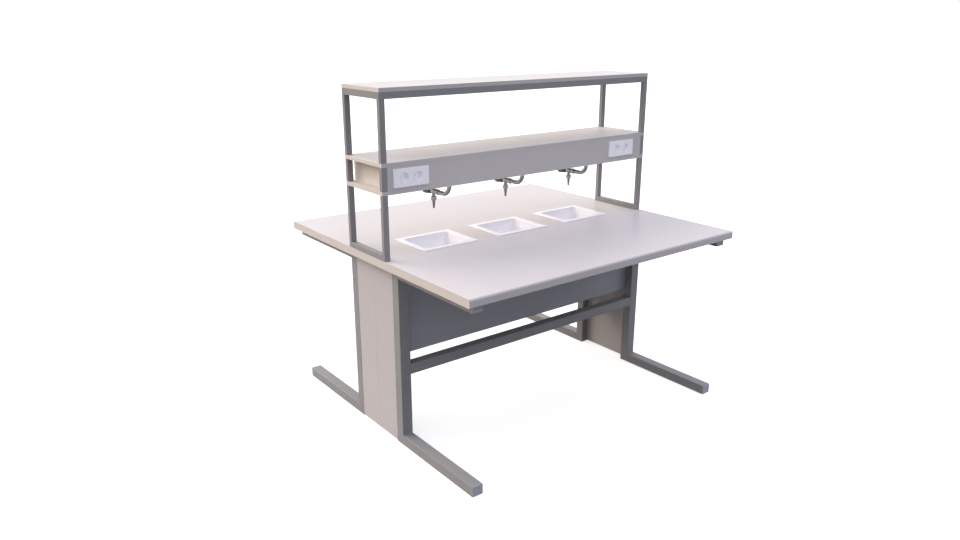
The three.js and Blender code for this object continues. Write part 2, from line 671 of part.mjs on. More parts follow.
// Box behind the fascia, open to the front.
function socketBoxGeometry() {
  const halfLength = SOCKET_BOX_LENGTH / 2;
  const halfHeight = SOCKET_BOX_HEIGHT / 2;
  const wall = SOCKET_BOX_WALL;
  const front = FASCIA_THICKNESS;
  const back = front + SOCKET_BOX_DEPTH;
  const shell = box([-halfLength - wall, front, -halfHeight - wall], [halfLength + wall, back, halfHeight + wall]);
  const inside = box([-halfLength, front - 1, -halfHeight], [halfLength, back - wall, halfHeight]);
  return carve([shell], [inside]);
}

// A tap's pieces have their origin where the neck's axis meets the underside of the duct.
function neckRing(radius, y, z, lean) {
  const points = [];
  for (let i = 0; i < TUBE_SIDES; i++) {
    const angle = (i / TUBE_SIDES) * Math.PI * 2;
    const across = radius * Math.sin(angle);
    points.push(
      new THREE.Vector3(radius * Math.cos(angle), y + across * Math.cos(lean), z + across * Math.sin(lean)),
    );
  }
  return points;
}

// Bent supply tube: tail through the duct's board, quarter bend, run into the valve, and a round rose.
function tapNeckGeometry() {
  const runEnd = VALVE_START + NECK_SOCKET_DEPTH - FIT_GAP;
  const stations = [[0, BOARD_THICKNESS + NECK_TAIL, 0]];
  for (let step = 0; step <= BEND_STEPS; step++) {
    const lean = (step / BEND_STEPS) * (Math.PI / 2);
    const y = NECK_BEND_RADIUS * (1 - Math.cos(lean));
    const z = -ROSE_THICKNESS - NECK_BEND_RADIUS * Math.sin(lean);
    stations.push([y, z, lean]);
  }
  stations.push([runEnd, -TAP_AXIS_DROP, Math.PI / 2]);
  const outside = stations.map(([y, z, lean]) => neckRing(NECK_DIAMETER / 2, y, z, lean));
  const inside = stations.map(([y, z, lean]) => neckRing(NECK_BORE / 2, y, z, lean)).reverse();
  const wall = (NECK_DIAMETER - NECK_BORE) / 4;
  const seat = NECK_DIAMETER / 2 - wall;
  const rose = [
    neckRing(seat, 0, 0, 0),
    neckRing(ROSE_DIAMETER / 2, 0, 0, 0),
    neckRing(ROSE_DIAMETER / 2, 0, -ROSE_THICKNESS / 2, 0),
    neckRing(NECK_DIAMETER / 2 + wall, 0, -ROSE_THICKNESS, 0),
    neckRing(seat, 0, -ROSE_THICKNESS, 0),
  ];
  return carve([skin([...outside, ...inside].reverse(), true), skin(rose.reverse(), true)]);
}

// Valve body: union nut on the neck, barrel, outlet stem with its thread, bonnet and spindle.
function tapBodyGeometry() {
  const axis = [0, 0, -TAP_AXIS_DROP];
  const barrelStart = VALVE_START + UNION_NUT_LENGTH;
  const radius = VALVE_DIAMETER / 2;
  const stemFoot = -TAP_AXIS_DROP - OUTLET_STEM_DROP;
  const threadFoot = stemFoot - OUTLET_THREAD_LENGTH;
  const stemAt = [0, TAP_REACH, 0];
  const barrel = revolve([
    [0, barrelStart - VALVE_EDGE],
    [radius - VALVE_EDGE, barrelStart - VALVE_EDGE],
    [radius, barrelStart + VALVE_EDGE],
    [radius, VALVE_END - VALVE_EDGE],
    [radius - VALVE_EDGE, VALVE_END],
    [BONNET_DIAMETER / 2, VALVE_END],
    [BONNET_DIAMETER / 2, BONNET_END - VALVE_EDGE],
    [BONNET_DIAMETER / 2 - VALVE_EDGE, BONNET_END],
    [SPINDLE_DIAMETER / 2, BONNET_END],
    [SPINDLE_DIAMETER / 2, BONNET_END + SPINDLE_LENGTH],
    [0, BONNET_END + SPINDLE_LENGTH],
  ]).translate(...axis);
  const socketEnd = VALVE_START + NECK_SOCKET_DEPTH;
  return carve(
    [
      barrel,
      hexBar("y", VALVE_START, barrelStart, UNION_NUT_FLATS, axis),
      bar("z", stemFoot, -TAP_AXIS_DROP, OUTLET_STEM_DIAMETER / 2, stemAt),
      bar("z", threadFoot, stemFoot, OUTLET_THREAD_DIAMETER / 2, stemAt, TUBE_SIDES),
    ],
    [
      bar("y", VALVE_START - 1, socketEnd, NECK_DIAMETER / 2 + FIT_GAP, axis, TUBE_SIDES),
      bar("y", socketEnd - 1, TAP_REACH, NECK_BORE / 2, axis, TUBE_SIDES),
      bar("z", threadFoot - 1, -TAP_AXIS_DROP, NOZZLE_BORE / 2, stemAt, TUBE_SIDES),
    ],
  );
}

// Hose nozzle: hexagon nut on the outlet's thread and a tapering tail with barbs.
function tapNozzleGeometry() {
  const nutTop = -TAP_AXIS_DROP - OUTLET_STEM_DROP - FIT_GAP;
  const nutFoot = nutTop - NOZZLE_NUT_HEIGHT;
  const tip = nutFoot - NOZZLE_TAIL_LENGTH;
  const threadEnd = nutTop - OUTLET_THREAD_LENGTH;
  const topRadius = NOZZLE_TOP_DIAMETER / 2;
  const tipRadius = NOZZLE_TIP_DIAMETER / 2;
  const pitch = NOZZLE_TAIL_LENGTH / (NOZZLE_BARBS + 1);
  const profile = [[0, tip]];
  for (let barb = 0; barb < NOZZLE_BARBS; barb++) {
    const share = (barb + 1) / (NOZZLE_BARBS + 1);
    const root = tipRadius + (topRadius - tipRadius) * share;
    const height = tip + barb * pitch;
    profile.push([root - NOZZLE_BARB_STEP, height], [root, height + pitch * 0.8]);
  }
  profile.push([topRadius - NOZZLE_BARB_STEP, nutFoot - pitch]);
  profile.push([topRadius, nutFoot + 1], [0, nutFoot + 1]);
  const tail = revolve(profile, TUBE_SIDES).rotateX(Math.PI / 2).translate(0, TAP_REACH, 0);
  const at = [0, TAP_REACH, 0];
  return carve(
    [tail, hexBar("z", nutFoot, nutTop, NOZZLE_NUT_FLATS, at)],
    [
      bar("z", threadEnd - FIT_GAP, nutTop + 1, OUTLET_THREAD_DIAMETER / 2 + FIT_GAP, at, TUBE_SIDES),
      bar("z", tip - 1, nutTop, NOZZLE_BORE / 2, at, TUBE_SIDES),
    ],
  );
}

// A ring of the handle, scalloped by its flutes.
function lobedRing(radius, flute, y) {
  const points = [];
  const sides = HANDLE_LOBES * LOBE_STEPS;
  for (let i = 0; i < sides; i++) {
    const angle = (i / sides) * Math.PI * 2;
    const reach = radius - flute * (0.5 - 0.5 * Math.cos(HANDLE_LOBES * angle));
    points.push(new THREE.Vector3(reach * Math.sin(angle), y, reach * Math.cos(angle)));
  }
  return points;
}

// Fluted handle with its origin on the spindle's axis, at the face next to the bonnet.
function tapHandleGeometry() {
  const neck = HANDLE_NECK_DIAMETER / 2;
  const head = HANDLE_HEAD_DIAMETER / 2;
  const crownShare = 1 - Math.SQRT1_2;
  const crown = HANDLE_HEAD_ROUND * crownShare;
  const rings = [
    lobedRing(neck - HANDLE_NECK_ROUND, 0, 0),
    lobedRing(neck, HANDLE_FLUTE_DEPTH / 2, HANDLE_NECK_ROUND),
    lobedRing(head, HANDLE_FLUTE_DEPTH, HANDLE_LENGTH - HANDLE_HEAD_ROUND),
    lobedRing(head - crown, HANDLE_FLUTE_DEPTH, HANDLE_LENGTH - crown),
    lobedRing(head - HANDLE_HEAD_ROUND, 0, HANDLE_LENGTH),
  ];
  const boreDepth = SPINDLE_LENGTH;
  const bore = bar("y", -1, boreDepth, SPINDLE_DIAMETER / 2 + FIT_GAP, [0, 0, 0], TUBE_SIDES);
  return carve([skin(rings, false)], [bore]);
}

// Feed pipe: a straight run over the taps with a tee on each tail. Its right end is left open.
function feedPipeGeometry() {
  const radius = FEED_DIAMETER / 2;
  const bore = radius - FEED_WALL;
  const axisZ = DUCT_FLOOR + FEED_RISE;
  const run = [0, TAP_INLET_Y, axisZ];
  const startX = -CUP_PITCH - FEED_TEE_DIAMETER / 2;
  const endX = CUP_PITCH + FEED_INLET_LENGTH;
  const added = [bar("x", startX, endX, radius, run, TUBE_SIDES)];
  const removed = [bar("x", startX + FEED_WALL, endX + 1, bore, run, TUBE_SIDES)];
  for (const x of STATIONS_X) {
    const at = [x, TAP_INLET_Y, 0];
    const socketTop = DUCT_FLOOR + NECK_TAIL + FIT_GAP;
    added.push(bar("z", DUCT_FLOOR, axisZ, FEED_TEE_DIAMETER / 2, at, TUBE_SIDES));
    removed.push(bar("z", DUCT_FLOOR - 1, socketTop, NECK_DIAMETER / 2 + FIT_GAP, at, TUBE_SIDES));
    removed.push(bar("z", socketTop - 1, axisZ, NECK_BORE / 2, at, TUBE_SIDES));
  }
  return carve(added, removed);
}

const bench = new THREE.Group();
bench.name = "lab_bench";

bench.add(piece("worktop", worktopGeometry(), "laminate"));

const cupSink = cupSinkGeometry();
STATIONS_X.forEach((x, i) => {
  const cup = piece(`cup_sink_${i + 1}`, cupSink, "sink");
  cup.position.set(x, 0, WORKTOP_HEIGHT);
  bench.add(cup);
});
bench.add(piece("waste_pipe", wastePipeGeometry(), "waste"));

// The back frames, caps, stretcher and panel are the front ones turned half round.
const cFrame = cFrameGeometry();
const footCap = tubeCapGeometry(FOOT_HEIGHT);
const armCap = tubeCapGeometry(ARM_HEIGHT);
const stretcher = stretcherGeometry();
const modestyPanel = modestyPanelGeometry();
const cladding = claddingGeometry();
for (const [side, turn] of [["front", 0], ["back", Math.PI]]) {
  const half = new THREE.Group();
  half.rotation.z = turn;
  for (const sign of [-1, 1]) {
    const end = sign * (turn ? -1 : 1) < 0 ? "left" : "right";
    const x = sign * (FRAME_OUTER_X - TUBE_WIDTH / 2);
    const tubeEndY = -FRAME_REACH_Y + CAP_THICKNESS;
    const frame = piece(`c_frame_${side}_${end}`, cFrame, "frame");
    frame.position.set(x, 0, 0);
    const foot = piece(`foot_cap_${side}_${end}`, footCap, "cap");
    foot.position.set(x, tubeEndY, FOOT_HEIGHT / 2);
    const arm = piece(`arm_cap_${side}_${end}`, armCap, "cap");
    arm.position.set(x, tubeEndY, WORKTOP_UNDERSIDE - ARM_HEIGHT / 2);
    const sheet = piece(`end_cladding_${side}_${end}`, cladding, "cladding");
    sheet.position.x = sign > 0 ? 0 : -CLADDING_OUTER_X - CLADDING_INNER_X;
    half.add(frame, foot, arm, sheet);
  }
  half.add(piece(`stretcher_${side}`, stretcher, "frame"));
  half.add(piece(`modesty_panel_${side}`, modestyPanel, "modesty"));
  bench.add(half);
}

// The shelf's left end is its right end moved along the bench.
const shelfBase = shelfBaseGeometry();
const ductPost = ductPostGeometry();
const ductEndPanel = ductEndPanelGeometry();
const toLeftEnd = -SHELF_END_X - POST_INNER_X;
for (const [end, shift, panelShift] of [
  ["right", 0, 0],
  ["left", toLeftEnd, BOARD_THICKNESS - 2 * DUCT_PANEL_X],
]) {
  const base = piece(`shelf_base_frame_${end}`, shelfBase, "frame");
  base.position.x = shift;
  const panel = piece(`duct_end_panel_${end}`, ductEndPanel, "board");
  panel.position.x = panelShift;
  bench.add(base, panel);
  for (const [side, across] of [["front", 0], ["back", SHELF_EDGE_Y + POST_INNER_Y]]) {
    const post = piece(`duct_post_${side}_${end}`, ductPost, "frame");
    post.position.set(shift, across, 0);
    bench.add(post);
  }
}
bench.add(piece("duct_lower_board", ductLowerBoardGeometry(), "board"));
bench.add(piece("duct_upper_board", shelfBoardGeometry(DUCT_CEILING), "board"));
bench.add(piece("duct_fascia_front", frontFasciaGeometry(), "board"));
bench.add(piece("duct_fascia_back", backFasciaGeometry(), "board"));
bench.add(piece("shelf_upper_frame", shelfUpperFrameGeometry(), "frame"));
bench.add(piece("shelf_top_board", shelfBoardGeometry(TOP_BOARD_UNDERSIDE), "board"));

const socketPlate = socketPlateGeometry();
const socketInsert = socketInsertGeometry();
const socketBox = socketBoxGeometry();
for (const [end, x] of Object.entries(SOCKET_CENTRES_X)) {
  const socket = new THREE.Group();
  socket.position.set(x, -SHELF_EDGE_Y, SOCKET_CENTRE_Z);
  socket.add(piece(`socket_plate_${end}`, socketPlate, "socket"));
  socket.add(piece(`socket_insert_${end}`, socketInsert, "socket"));
  socket.add(piece(`socket_box_${end}`, socketBox, "socketBox"));
  bench.add(socket);
}

const tapNeck = tapNeckGeometry();
const tapBody = tapBodyGeometry();
const tapNozzle = tapNozzleGeometry();
const tapHandle = tapHandleGeometry();
STATIONS_X.forEach((x, i) => {
  const tap = new THREE.Group();
  tap.position.set(x, TAP_INLET_Y, DUCT_UNDERSIDE);
  const handle = piece(`tap_handle_${i + 1}`, tapHandle, "handle");
  handle.position.set(0, BONNET_END + FIT_GAP, -TAP_AXIS_DROP);
  tap.add(
    piece(`tap_neck_${i + 1}`, tapNeck, "chrome"),
    piece(`tap_body_${i + 1}`, tapBody, "chrome"),
    piece(`tap_nozzle_${i + 1}`, tapNozzle, "chrome"),
    handle,
  );
  bench.add(tap);
});
bench.add(piece("water_feed_pipe", feedPipeGeometry(), "copper"));

export default bench;
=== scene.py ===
import json
import math

import bmesh
import bpy
from mathutils import Matrix, Vector


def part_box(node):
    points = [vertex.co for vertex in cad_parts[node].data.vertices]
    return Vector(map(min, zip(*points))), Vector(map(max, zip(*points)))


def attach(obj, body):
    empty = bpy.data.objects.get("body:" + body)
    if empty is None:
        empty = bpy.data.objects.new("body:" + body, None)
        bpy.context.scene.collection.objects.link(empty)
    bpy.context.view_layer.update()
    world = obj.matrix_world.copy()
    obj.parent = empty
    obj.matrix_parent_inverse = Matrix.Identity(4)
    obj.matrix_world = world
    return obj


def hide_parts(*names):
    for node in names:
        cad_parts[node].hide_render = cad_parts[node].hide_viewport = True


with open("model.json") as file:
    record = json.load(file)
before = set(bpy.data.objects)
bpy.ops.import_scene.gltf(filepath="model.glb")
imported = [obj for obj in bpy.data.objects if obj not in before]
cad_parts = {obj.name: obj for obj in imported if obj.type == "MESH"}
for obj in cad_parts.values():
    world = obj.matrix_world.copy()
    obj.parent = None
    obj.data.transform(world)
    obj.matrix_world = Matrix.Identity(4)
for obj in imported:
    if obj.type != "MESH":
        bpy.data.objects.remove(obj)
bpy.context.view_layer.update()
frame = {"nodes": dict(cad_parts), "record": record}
nodes = frame["nodes"]
SLOTS = {entry["node"]: entry["material_slot"] for entry in frame["record"]["subparts"]}
BODY = "bench"
SIDES = ("front", "back")
ENDS = ("left", "right")
CORNERS = [(side, end) for side in SIDES for end in ENDS]
STATIONS = (1, 2, 3)
TOUCH = 1e-5
MERGE = 1e-6


# Node trees and shader arithmetic

DIRECT_RAYS = ("Is Camera Ray", "Is Glossy Ray", "Is Transmission Ray")


class Field:
    """A node's output that takes part in Python arithmetic."""

    def __init__(self, tree, socket):
        self.tree = tree
        self.socket = socket

    def math(self, operation, first, second):
        node = self.tree.nodes.new("ShaderNodeMath")
        node.operation = operation
        for place, value in zip(node.inputs, (first, second)):
            if isinstance(value, Field):
                self.tree.links.new(value.socket, place)
            else:
                place.default_value = value
        return Field(self.tree, node.outputs[0])

    def __add__(self, other):
        return self.math("ADD", self, other)

    def __sub__(self, other):
        return self.math("SUBTRACT", self, other)

    def __rsub__(self, other):
        return self.math("SUBTRACT", other, self)

    def __mul__(self, other):
        return self.math("MULTIPLY", self, other)

    def __gt__(self, edge):
        return self.math("GREATER_THAN", self, edge)

    __radd__ = __add__
    __rmul__ = __mul__


class Wiring:
    """A node tree, with one method that makes any node."""

    def __init__(self, tree):
        self.tree = tree
        self.tree.nodes.clear()

    def node(self, kind, settings=None, inputs=None, output=0):
        node = self.tree.nodes.new(kind)
        for key, value in (settings or {}).items():
            setattr(node, key, value)
        for key, value in (inputs or {}).items():
            if isinstance(value, Field):
                self.tree.links.new(value.socket, node.inputs[key])
            else:
                node.inputs[key].default_value = value
        return Field(self.tree, node.outputs[output]) if node.outputs else None

    def seen_directly(self):
        """One for rays that show the backdrop: by eye, in a mirror or through glass. Nought for others."""
        eye, mirror, glass = [self.node("ShaderNodeLightPath", output=ray) for ray in DIRECT_RAYS]
        return eye + mirror + glass


class Finish(Wiring):
    """A material and the patterns that its surface is made of."""

    def __init__(self, name):
        self.material = bpy.data.materials.new(name)
        self.material.use_nodes = True
        super().__init__(self.material.node_tree)

    def marked(self, attribute):
        return self.node("ShaderNodeAttribute", {"attribute_name": attribute}, output="Fac")

    def noise(self, scale, detail, roughness, stretch=None):
        vector = self.node("ShaderNodeTexCoord", output="Object")
        if stretch:
            vector = self.node("ShaderNodeMapping", inputs={"Vector": vector, "Scale": stretch})
        values = {"Vector": vector, "Scale": scale, "Detail": detail, "Roughness": roughness}
        return self.node("ShaderNodeTexNoise", inputs=values)

    def blend(self, factor, low, high):
        inputs = {0: factor, 6: low, 7: high}
        return self.node("ShaderNodeMix", {"data_type": "RGBA", "clamp_factor": True}, inputs, 2)

    def bump(self, height, distance, strength=1.0):
        values = {"Height": height, "Distance": distance, "Strength": strength}
        return self.node("ShaderNodeBump", inputs=values)

    def surface(self, **sockets):
        inputs = {key.replace("_", " "): value for key, value in sockets.items()}
        shader = self.node("ShaderNodeBsdfPrincipled", inputs=inputs)
        self.node("ShaderNodeOutputMaterial", inputs={"Surface": shader})
        return self.material


def srgb(red, green, blue):
    def linear(value):
        value /= 255
        return value / 12.92 if value <= 0.04045 else ((value + 0.055) / 1.055) ** 2.4

    return (linear(red), linear(green), linear(blue), 1)


# Finishes of this bench

END_FACING = 0.7
# Tint of a painted glow: light given off by pale plastics that are no lamps.
PAINTED_GLOW_TINT = (0.80, 0.76, 1.0, 1)


def laminate_finish(name, low, high, rough, band_and_painted_light=None):
    """Melamine face with a faint mottle and pore, and a plain, lighter edge colour on faces marked as ends:
    partly edge banding, partly painted light on the lit ends.
    """
    finish = Finish(name)
    mottle = finish.noise(scale=3.2, detail=4.0, roughness=0.6)
    pore = finish.noise(scale=900.0, detail=2.0, roughness=0.6)
    wear = finish.noise(scale=26.0, detail=3.0, roughness=0.65)
    colour = finish.blend(mottle * 1.6 - 0.3, low, high)
    # End faces get a lighter edge colour: partly edge banding, partly painted light on the lit ends.
    if band_and_painted_light:
        colour = finish.blend(finish.marked("end_face") > END_FACING, colour, band_and_painted_light)
    return finish.surface(
        Base_Color=colour,
        Roughness=rough + (wear - 0.5) * 0.16 + (pore - 0.5) * 0.06,
        IOR=1.48,
        Normal=finish.bump(pore, distance=0.00006),
    )


def powder_coat(name, low, high, rough):
    """Powder coat: an orange-peel skin with a slight change of tone and gloss."""
    finish = Finish(name)
    cloud = finish.noise(scale=5.0, detail=3.0, roughness=0.55)
    peel = finish.noise(scale=420.0, detail=2.0, roughness=0.45)
    dust = finish.noise(scale=38.0, detail=4.0, roughness=0.7)
    return finish.surface(
        Base_Color=finish.blend(cloud * 1.5 - 0.25, low, high),
        Roughness=rough + (dust - 0.5) * 0.2,
        IOR=1.5,
        Normal=finish.bump(peel, distance=0.00012, strength=0.6),
    )


def moulded(name, low, high, rough, grain, depth, gloss=0.0, painted_glow=0.0):
    """Moulded plastic with an eroded texture. A painted glow gives off a little violet light, though the
    plastic is no lamp.
    """
    finish = Finish(name)
    cloud = finish.noise(scale=9.0, detail=3.0, roughness=0.6)
    texture = finish.noise(scale=grain, detail=3.0, roughness=0.55)
    return finish.surface(
        Base_Color=finish.blend(cloud * 1.4 - 0.2, low, high),
        Roughness=rough + (texture - 0.5) * 0.12,
        IOR=1.49,
        Coat_Weight=gloss,
        Coat_Roughness=0.12,
        # Painted glow: emission that makes the plastic look brighter than the lamps alone light it.
        Emission_Color=PAINTED_GLOW_TINT,
        Emission_Strength=painted_glow,
        Normal=finish.bump(texture, distance=depth, strength=0.5),
    )


def metal(name, low, high, rough, brush):
    """Plated or drawn metal with fine turning marks and clouded gloss."""
    finish = Finish(name)
    cloud = finish.noise(scale=55.0, detail=3.0, roughness=0.6)
    marks = finish.noise(scale=520.0, detail=2.0, roughness=0.5, stretch=brush)
    return finish.surface(
        Base_Color=finish.blend(cloud, low, high),
        Metallic=1.0,
        Roughness=rough + (cloud - 0.5) * 0.14 + (marks - 0.5) * 0.08,
        Normal=finish.bump(marks, distance=0.00003, strength=0.4),
    )


FINISHES = {
    # The end colours of the two laminates are lighter than their faces: partly edge banding, partly painted
    # light on the lit ends.
    "worktop_laminate": laminate_finish(
        "worktop_laminate", srgb(211, 204, 204), srgb(217, 210, 210), rough=0.4, band_and_painted_light=srgb(226, 219, 212)),
    "shelf_laminate": laminate_finish(
        "shelf_laminate", srgb(208, 203, 202), srgb(214, 209, 208), rough=0.45, band_and_painted_light=srgb(234, 228, 219)),
    "panel_laminate": laminate_finish(
        "panel_laminate", srgb(184, 186, 193), srgb(192, 194, 201), rough=0.55),
    "cladding_laminate": laminate_finish(
        "cladding_laminate", srgb(206, 203, 205), srgb(213, 210, 212), rough=0.55),
    "frame_paint": powder_coat(
        "frame_paint", srgb(142, 142, 144), srgb(150, 150, 152), rough=0.5),
    "cap_plastic": moulded(
        "cap_plastic", srgb(188, 188, 197), srgb(198, 198, 207), rough=0.55, grain=700.0, depth=0.00008),
    # The sink plastic has a painted glow that brightens it.
    "sink_polypropylene": moulded(
        "sink_polypropylene", srgb(243, 243, 246), srgb(247, 247, 250),
        rough=0.34, grain=500.0, depth=0.00005, gloss=0.5, painted_glow=0.07),
    "waste_polypropylene": moulded(
        "waste_polypropylene", srgb(140, 143, 146), srgb(150, 153, 156),
        rough=0.5, grain=500.0, depth=0.00006),
    # The socket plastic has a painted glow that brightens it.
    "socket_plastic": moulded(
        "socket_plastic", srgb(246, 247, 252), srgb(250, 251, 255),
        rough=0.28, grain=900.0, depth=0.00003, gloss=1.0, painted_glow=0.07),
    "box_plastic": moulded(
        "box_plastic", srgb(56, 58, 62), srgb(64, 66, 70), rough=0.6, grain=600.0, depth=0.00005),
    "tap_chrome": metal(
        "tap_chrome", srgb(126, 127, 125), srgb(150, 151, 148), rough=0.36, brush=(1.0, 6.0, 1.0)),
    "feed_pipe": metal(
        "feed_pipe", srgb(184, 122, 82), srgb(200, 138, 96), rough=0.35, brush=(0.1, 4.0, 4.0)),
    "handle_plastic": moulded(
        "handle_plastic", srgb(24, 78, 44), srgb(32, 92, 54), rough=0.34, grain=600.0, depth=0.00006),
}
BAND_AND_PAINTED_LIGHT_SLOTS = ("worktop_laminate", "shelf_laminate")


# Mesh making

CREASE = 35
FLAT_FROM = 0.008
EDGE_ANGLE = math.radians(30)
FLAT_ANGLE = math.radians(0.5)


def breadth(mesh, face):
    """How wide a face is across its longest edge. Broad faces are flat, narrow ones belong to rounds."""
    points = [mesh.vertices[i].co for i in face.vertices]
    return face.area / max((b - a).length for a, b in zip(points, points[1:] + points[:1]))


def mark_ends(mesh):
    """Notes on each face how squarely it looks along the bench, for the lighter end colour: partly edge
    banding, partly painted light.
    """
    end_face = mesh.attributes.new("end_face", "FLOAT", "FACE")
    end_face.data.foreach_set("value", [abs(face.normal.x) for face in mesh.polygons])


def piece(name, mesh, slot, replaced, body=BODY, sharp=CREASE):
    """A finished piece at the origin, smooth over its rounds and flat elsewhere, riding on its body."""
    mesh.name = name
    mesh.materials.clear()
    mesh.materials.append(FINISHES[slot])
    mesh.set_sharp_from_angle(angle=math.radians(sharp))
    mesh.polygons.foreach_set("use_smooth", [breadth(mesh, face) < FLAT_FROM for face in mesh.polygons])
    # These laminates get the lighter end colour, which is partly painted light.
    if slot in BAND_AND_PAINTED_LIGHT_SLOTS:
        mark_ends(mesh)
    made = bpy.data.objects.new(name, mesh)
    bpy.context.scene.collection.objects.link(made)
    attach(made, body)
    if replaced:
        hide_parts(*replaced)


def dressed(node, mesh, body=BODY, sharp=CREASE):
    """The finished piece that stands for one node."""
    piece("dressed_" + node, mesh, SLOTS[node], [node], body, sharp)


def plain_mesh(work):
    mesh = bpy.data.meshes.new("plain")
    work.to_mesh(mesh)
    work.free()
    return mesh


def mesh_of(work):
    bmesh.ops.recalc_face_normals(work, faces=work.faces)
    return plain_mesh(work)


def soften(work, width, segments=2):
    """Rounds every sharp edge."""
    shared = [edge for edge in work.edges if len(edge.link_faces) == 2]
    edges = [edge for edge in shared if edge.calc_face_angle(0) > EDGE_ANGLE]
    bmesh.ops.bevel(
        work, geom=edges, offset=width, segments=segments, profile=0.5, affect="EDGES", clamp_overlap=True)


def add_box(work, low, high):
    middle = Matrix.Translation((Vector(low) + Vector(high)) / 2)
    size = Vector(high) - Vector(low)
    bmesh.ops.create_cube(work, size=1, matrix=middle @ Matrix.Diagonal((*size, 1)))


def add_skin(work, rings, closed):
    """Quads over rings of points. An open skin gets a face at each end."""
    rows = [[work.verts.new(point) for point in ring] for ring in rings]
    count = len(rows[0])
    for here, there in zip(rows, rows[1:] + (rows[:1] if closed else [])):
        for i in range(count):
            j = (i + 1) % count
            work.faces.new((here[i], here[j], there[j], there[i]))
    if not closed:
        work.faces.new(list(reversed(rows[0])))
        work.faces.new(rows[-1])


def ring_about(at, axis, height, sides, reach):
    """Points round the axis Y or Z through a point. Reach gives the radius at each turn."""
    ring = []
    for i in range(sides):
        turn = 2 * math.pi * i / sides
        across, up = reach(turn) * math.cos(turn), reach(turn) * math.sin(turn)
        offset = (across, height, up) if axis == "y" else (across, up, height)
        ring.append(Vector(at) + Vector(offset))
    return ring


def turned(profile, at, axis, sides):
    """Rings about an axis, from a profile of (radius, height)."""
    return [ring_about(at, axis, height, sides, lambda turn: radius) for radius, height in profile]


def quarter(steps):
    """Angles of a quarter turn, both ends included."""
    return [math.pi / 2 * step / steps for step in range(steps + 1)]


def redrawn(across, along, radius, wanted):
    """A point of a quarter round, measured from its centre, for another radius in the same corner."""
    if min(across, along) < -TOUCH or max(across, along) > radius + TOUCH:
        return across, along
    turn = math.atan2(along, across)
    shift = radius - wanted
    reach = math.hypot(across, along) - shift
    return shift + reach * math.cos(turn), shift + reach * math.sin(turn)


def boxes_piece(node, boxes, width, segments=2):
    """A node drawn anew from boxes with rounded edges."""
    work = bmesh.new()
    for low, high in boxes:
        add_box(work, low, high)
    soften(work, width, segments)
    dressed(node, mesh_of(work))


def merged_copy(node):
    """A node's own mesh with its vertices merged and its flat faces joined."""
    work = bmesh.new()
    work.from_mesh(nodes[node].data)
    bmesh.ops.remove_doubles(work, verts=work.verts, dist=MERGE)
    bmesh.ops.dissolve_limit(work, angle_limit=FLAT_ANGLE, verts=work.verts, edges=work.edges)
    return work


def node_piece(node, width=0.0, sharp=CREASE):
    """A copy of a node, with its edges rounded where a width is given."""
    work = merged_copy(node)
    if width:
        soften(work, width)
    dressed(node, plain_mesh(work), sharp=sharp)


# Boards and panels

BOARDS = (
    "shelf_top_board",
    "duct_upper_board",
    "duct_lower_board",
    "duct_fascia_back",
    "duct_end_panel_left",
    "duct_end_panel_right",
    "modesty_panel_front",
    "modesty_panel_back",
)
BOARD_EDGE = 0.0008
CLADDING_EDGE = 0.0012
CLADDING_GAP = 0.0002
CLADDING_STEP = 0.0006


def end_cladding(side, end):
    """Half of an end, almost flush with its column and butted against the other half with a fine groove."""
    node = f"end_cladding_{side}_{end}"
    low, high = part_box(node)
    column_low, column_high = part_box(f"c_frame_{side}_{end}")
    if end == "left":
        low.x = column_low.x + CLADDING_STEP
    else:
        high.x = column_high.x - CLADDING_STEP
    if side == "front":
        high.y = -CLADDING_GAP / 2
    else:
        low.y = CLADDING_GAP / 2
    boxes_piece(node, [(low, high)], CLADDING_EDGE)


for board in BOARDS:
    boxes_piece(board, [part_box(board)], BOARD_EDGE)
for side, end in CORNERS:
    end_cladding(side, end)
node_piece("duct_fascia_front")


# Worktop

CUP_RIM = 0.028
CUP_WALL = 0.004
CUP_CORNER = 0.019
CUTOUT_GAP = 0.0015
CUTOUT_CORNER_SOLID = 0.0435
CUTOUT_CORNER = CUP_CORNER + CUP_WALL + CUTOUT_GAP
EDGE_ROUND_SOLID = 0.015
EDGE_ROUND = 0.010


def round_long_edges(work):
    """Draws the solid's round on the long upper edges at the radius that the photo shows."""
    edge_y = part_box("worktop")[1].y - EDGE_ROUND_SOLID
    edge_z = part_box("worktop")[1].z - EDGE_ROUND_SOLID
    for vert in work.verts:
        out, up = redrawn(abs(vert.co.y) - edge_y, vert.co.z - edge_z, EDGE_ROUND_SOLID, EDGE_ROUND)
        vert.co.y = math.copysign(edge_y + out, vert.co.y)
        vert.co.z = edge_z + up


def round_cutout(work, number):
    """Draws in the corners of one cut-out, so that they stay under the cup sink's flange."""
    low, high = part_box(f"cup_sink_{number}")
    centre, half = (low + high) / 2, (high - low) / 2
    under_rim = CUP_RIM - CUP_WALL - CUTOUT_GAP
    inner_x = half.x - under_rim - CUTOUT_CORNER_SOLID
    inner_y = half.y - under_rim - CUTOUT_CORNER_SOLID
    for vert in work.verts:
        x, y = vert.co.x - centre.x, vert.co.y - centre.y
        across, along = redrawn(abs(x) - inner_x, abs(y) - inner_y, CUTOUT_CORNER_SOLID, CUTOUT_CORNER)
        vert.co.x = centre.x + math.copysign(inner_x + across, x)
        vert.co.y = centre.y + math.copysign(inner_y + along, y)


def worktop():
    """The slab with a tighter round on its long edges, and cut-outs with the cup sinks' own corners."""
    work = merged_copy("worktop")
    round_long_edges(work)
    for number in STATIONS:
        round_cutout(work, number)
    dressed("worktop", mesh_of(work), sharp=40)


worktop()


# Steel tube frames

TUBE_ROUND = 0.0025
TUBE_STEPS = 3
FOOT_CAP_EDGE = 0.0018
ARM_CAP_EDGE = 0.001
SHELF_ROUND = 0.002
POST_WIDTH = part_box("duct_post_front_left")[1].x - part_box("duct_post_front_left")[0].x
POST_DEPTH = 0.022
BASE_RAIL = 0.026
UPPER_RAIL = 0.029


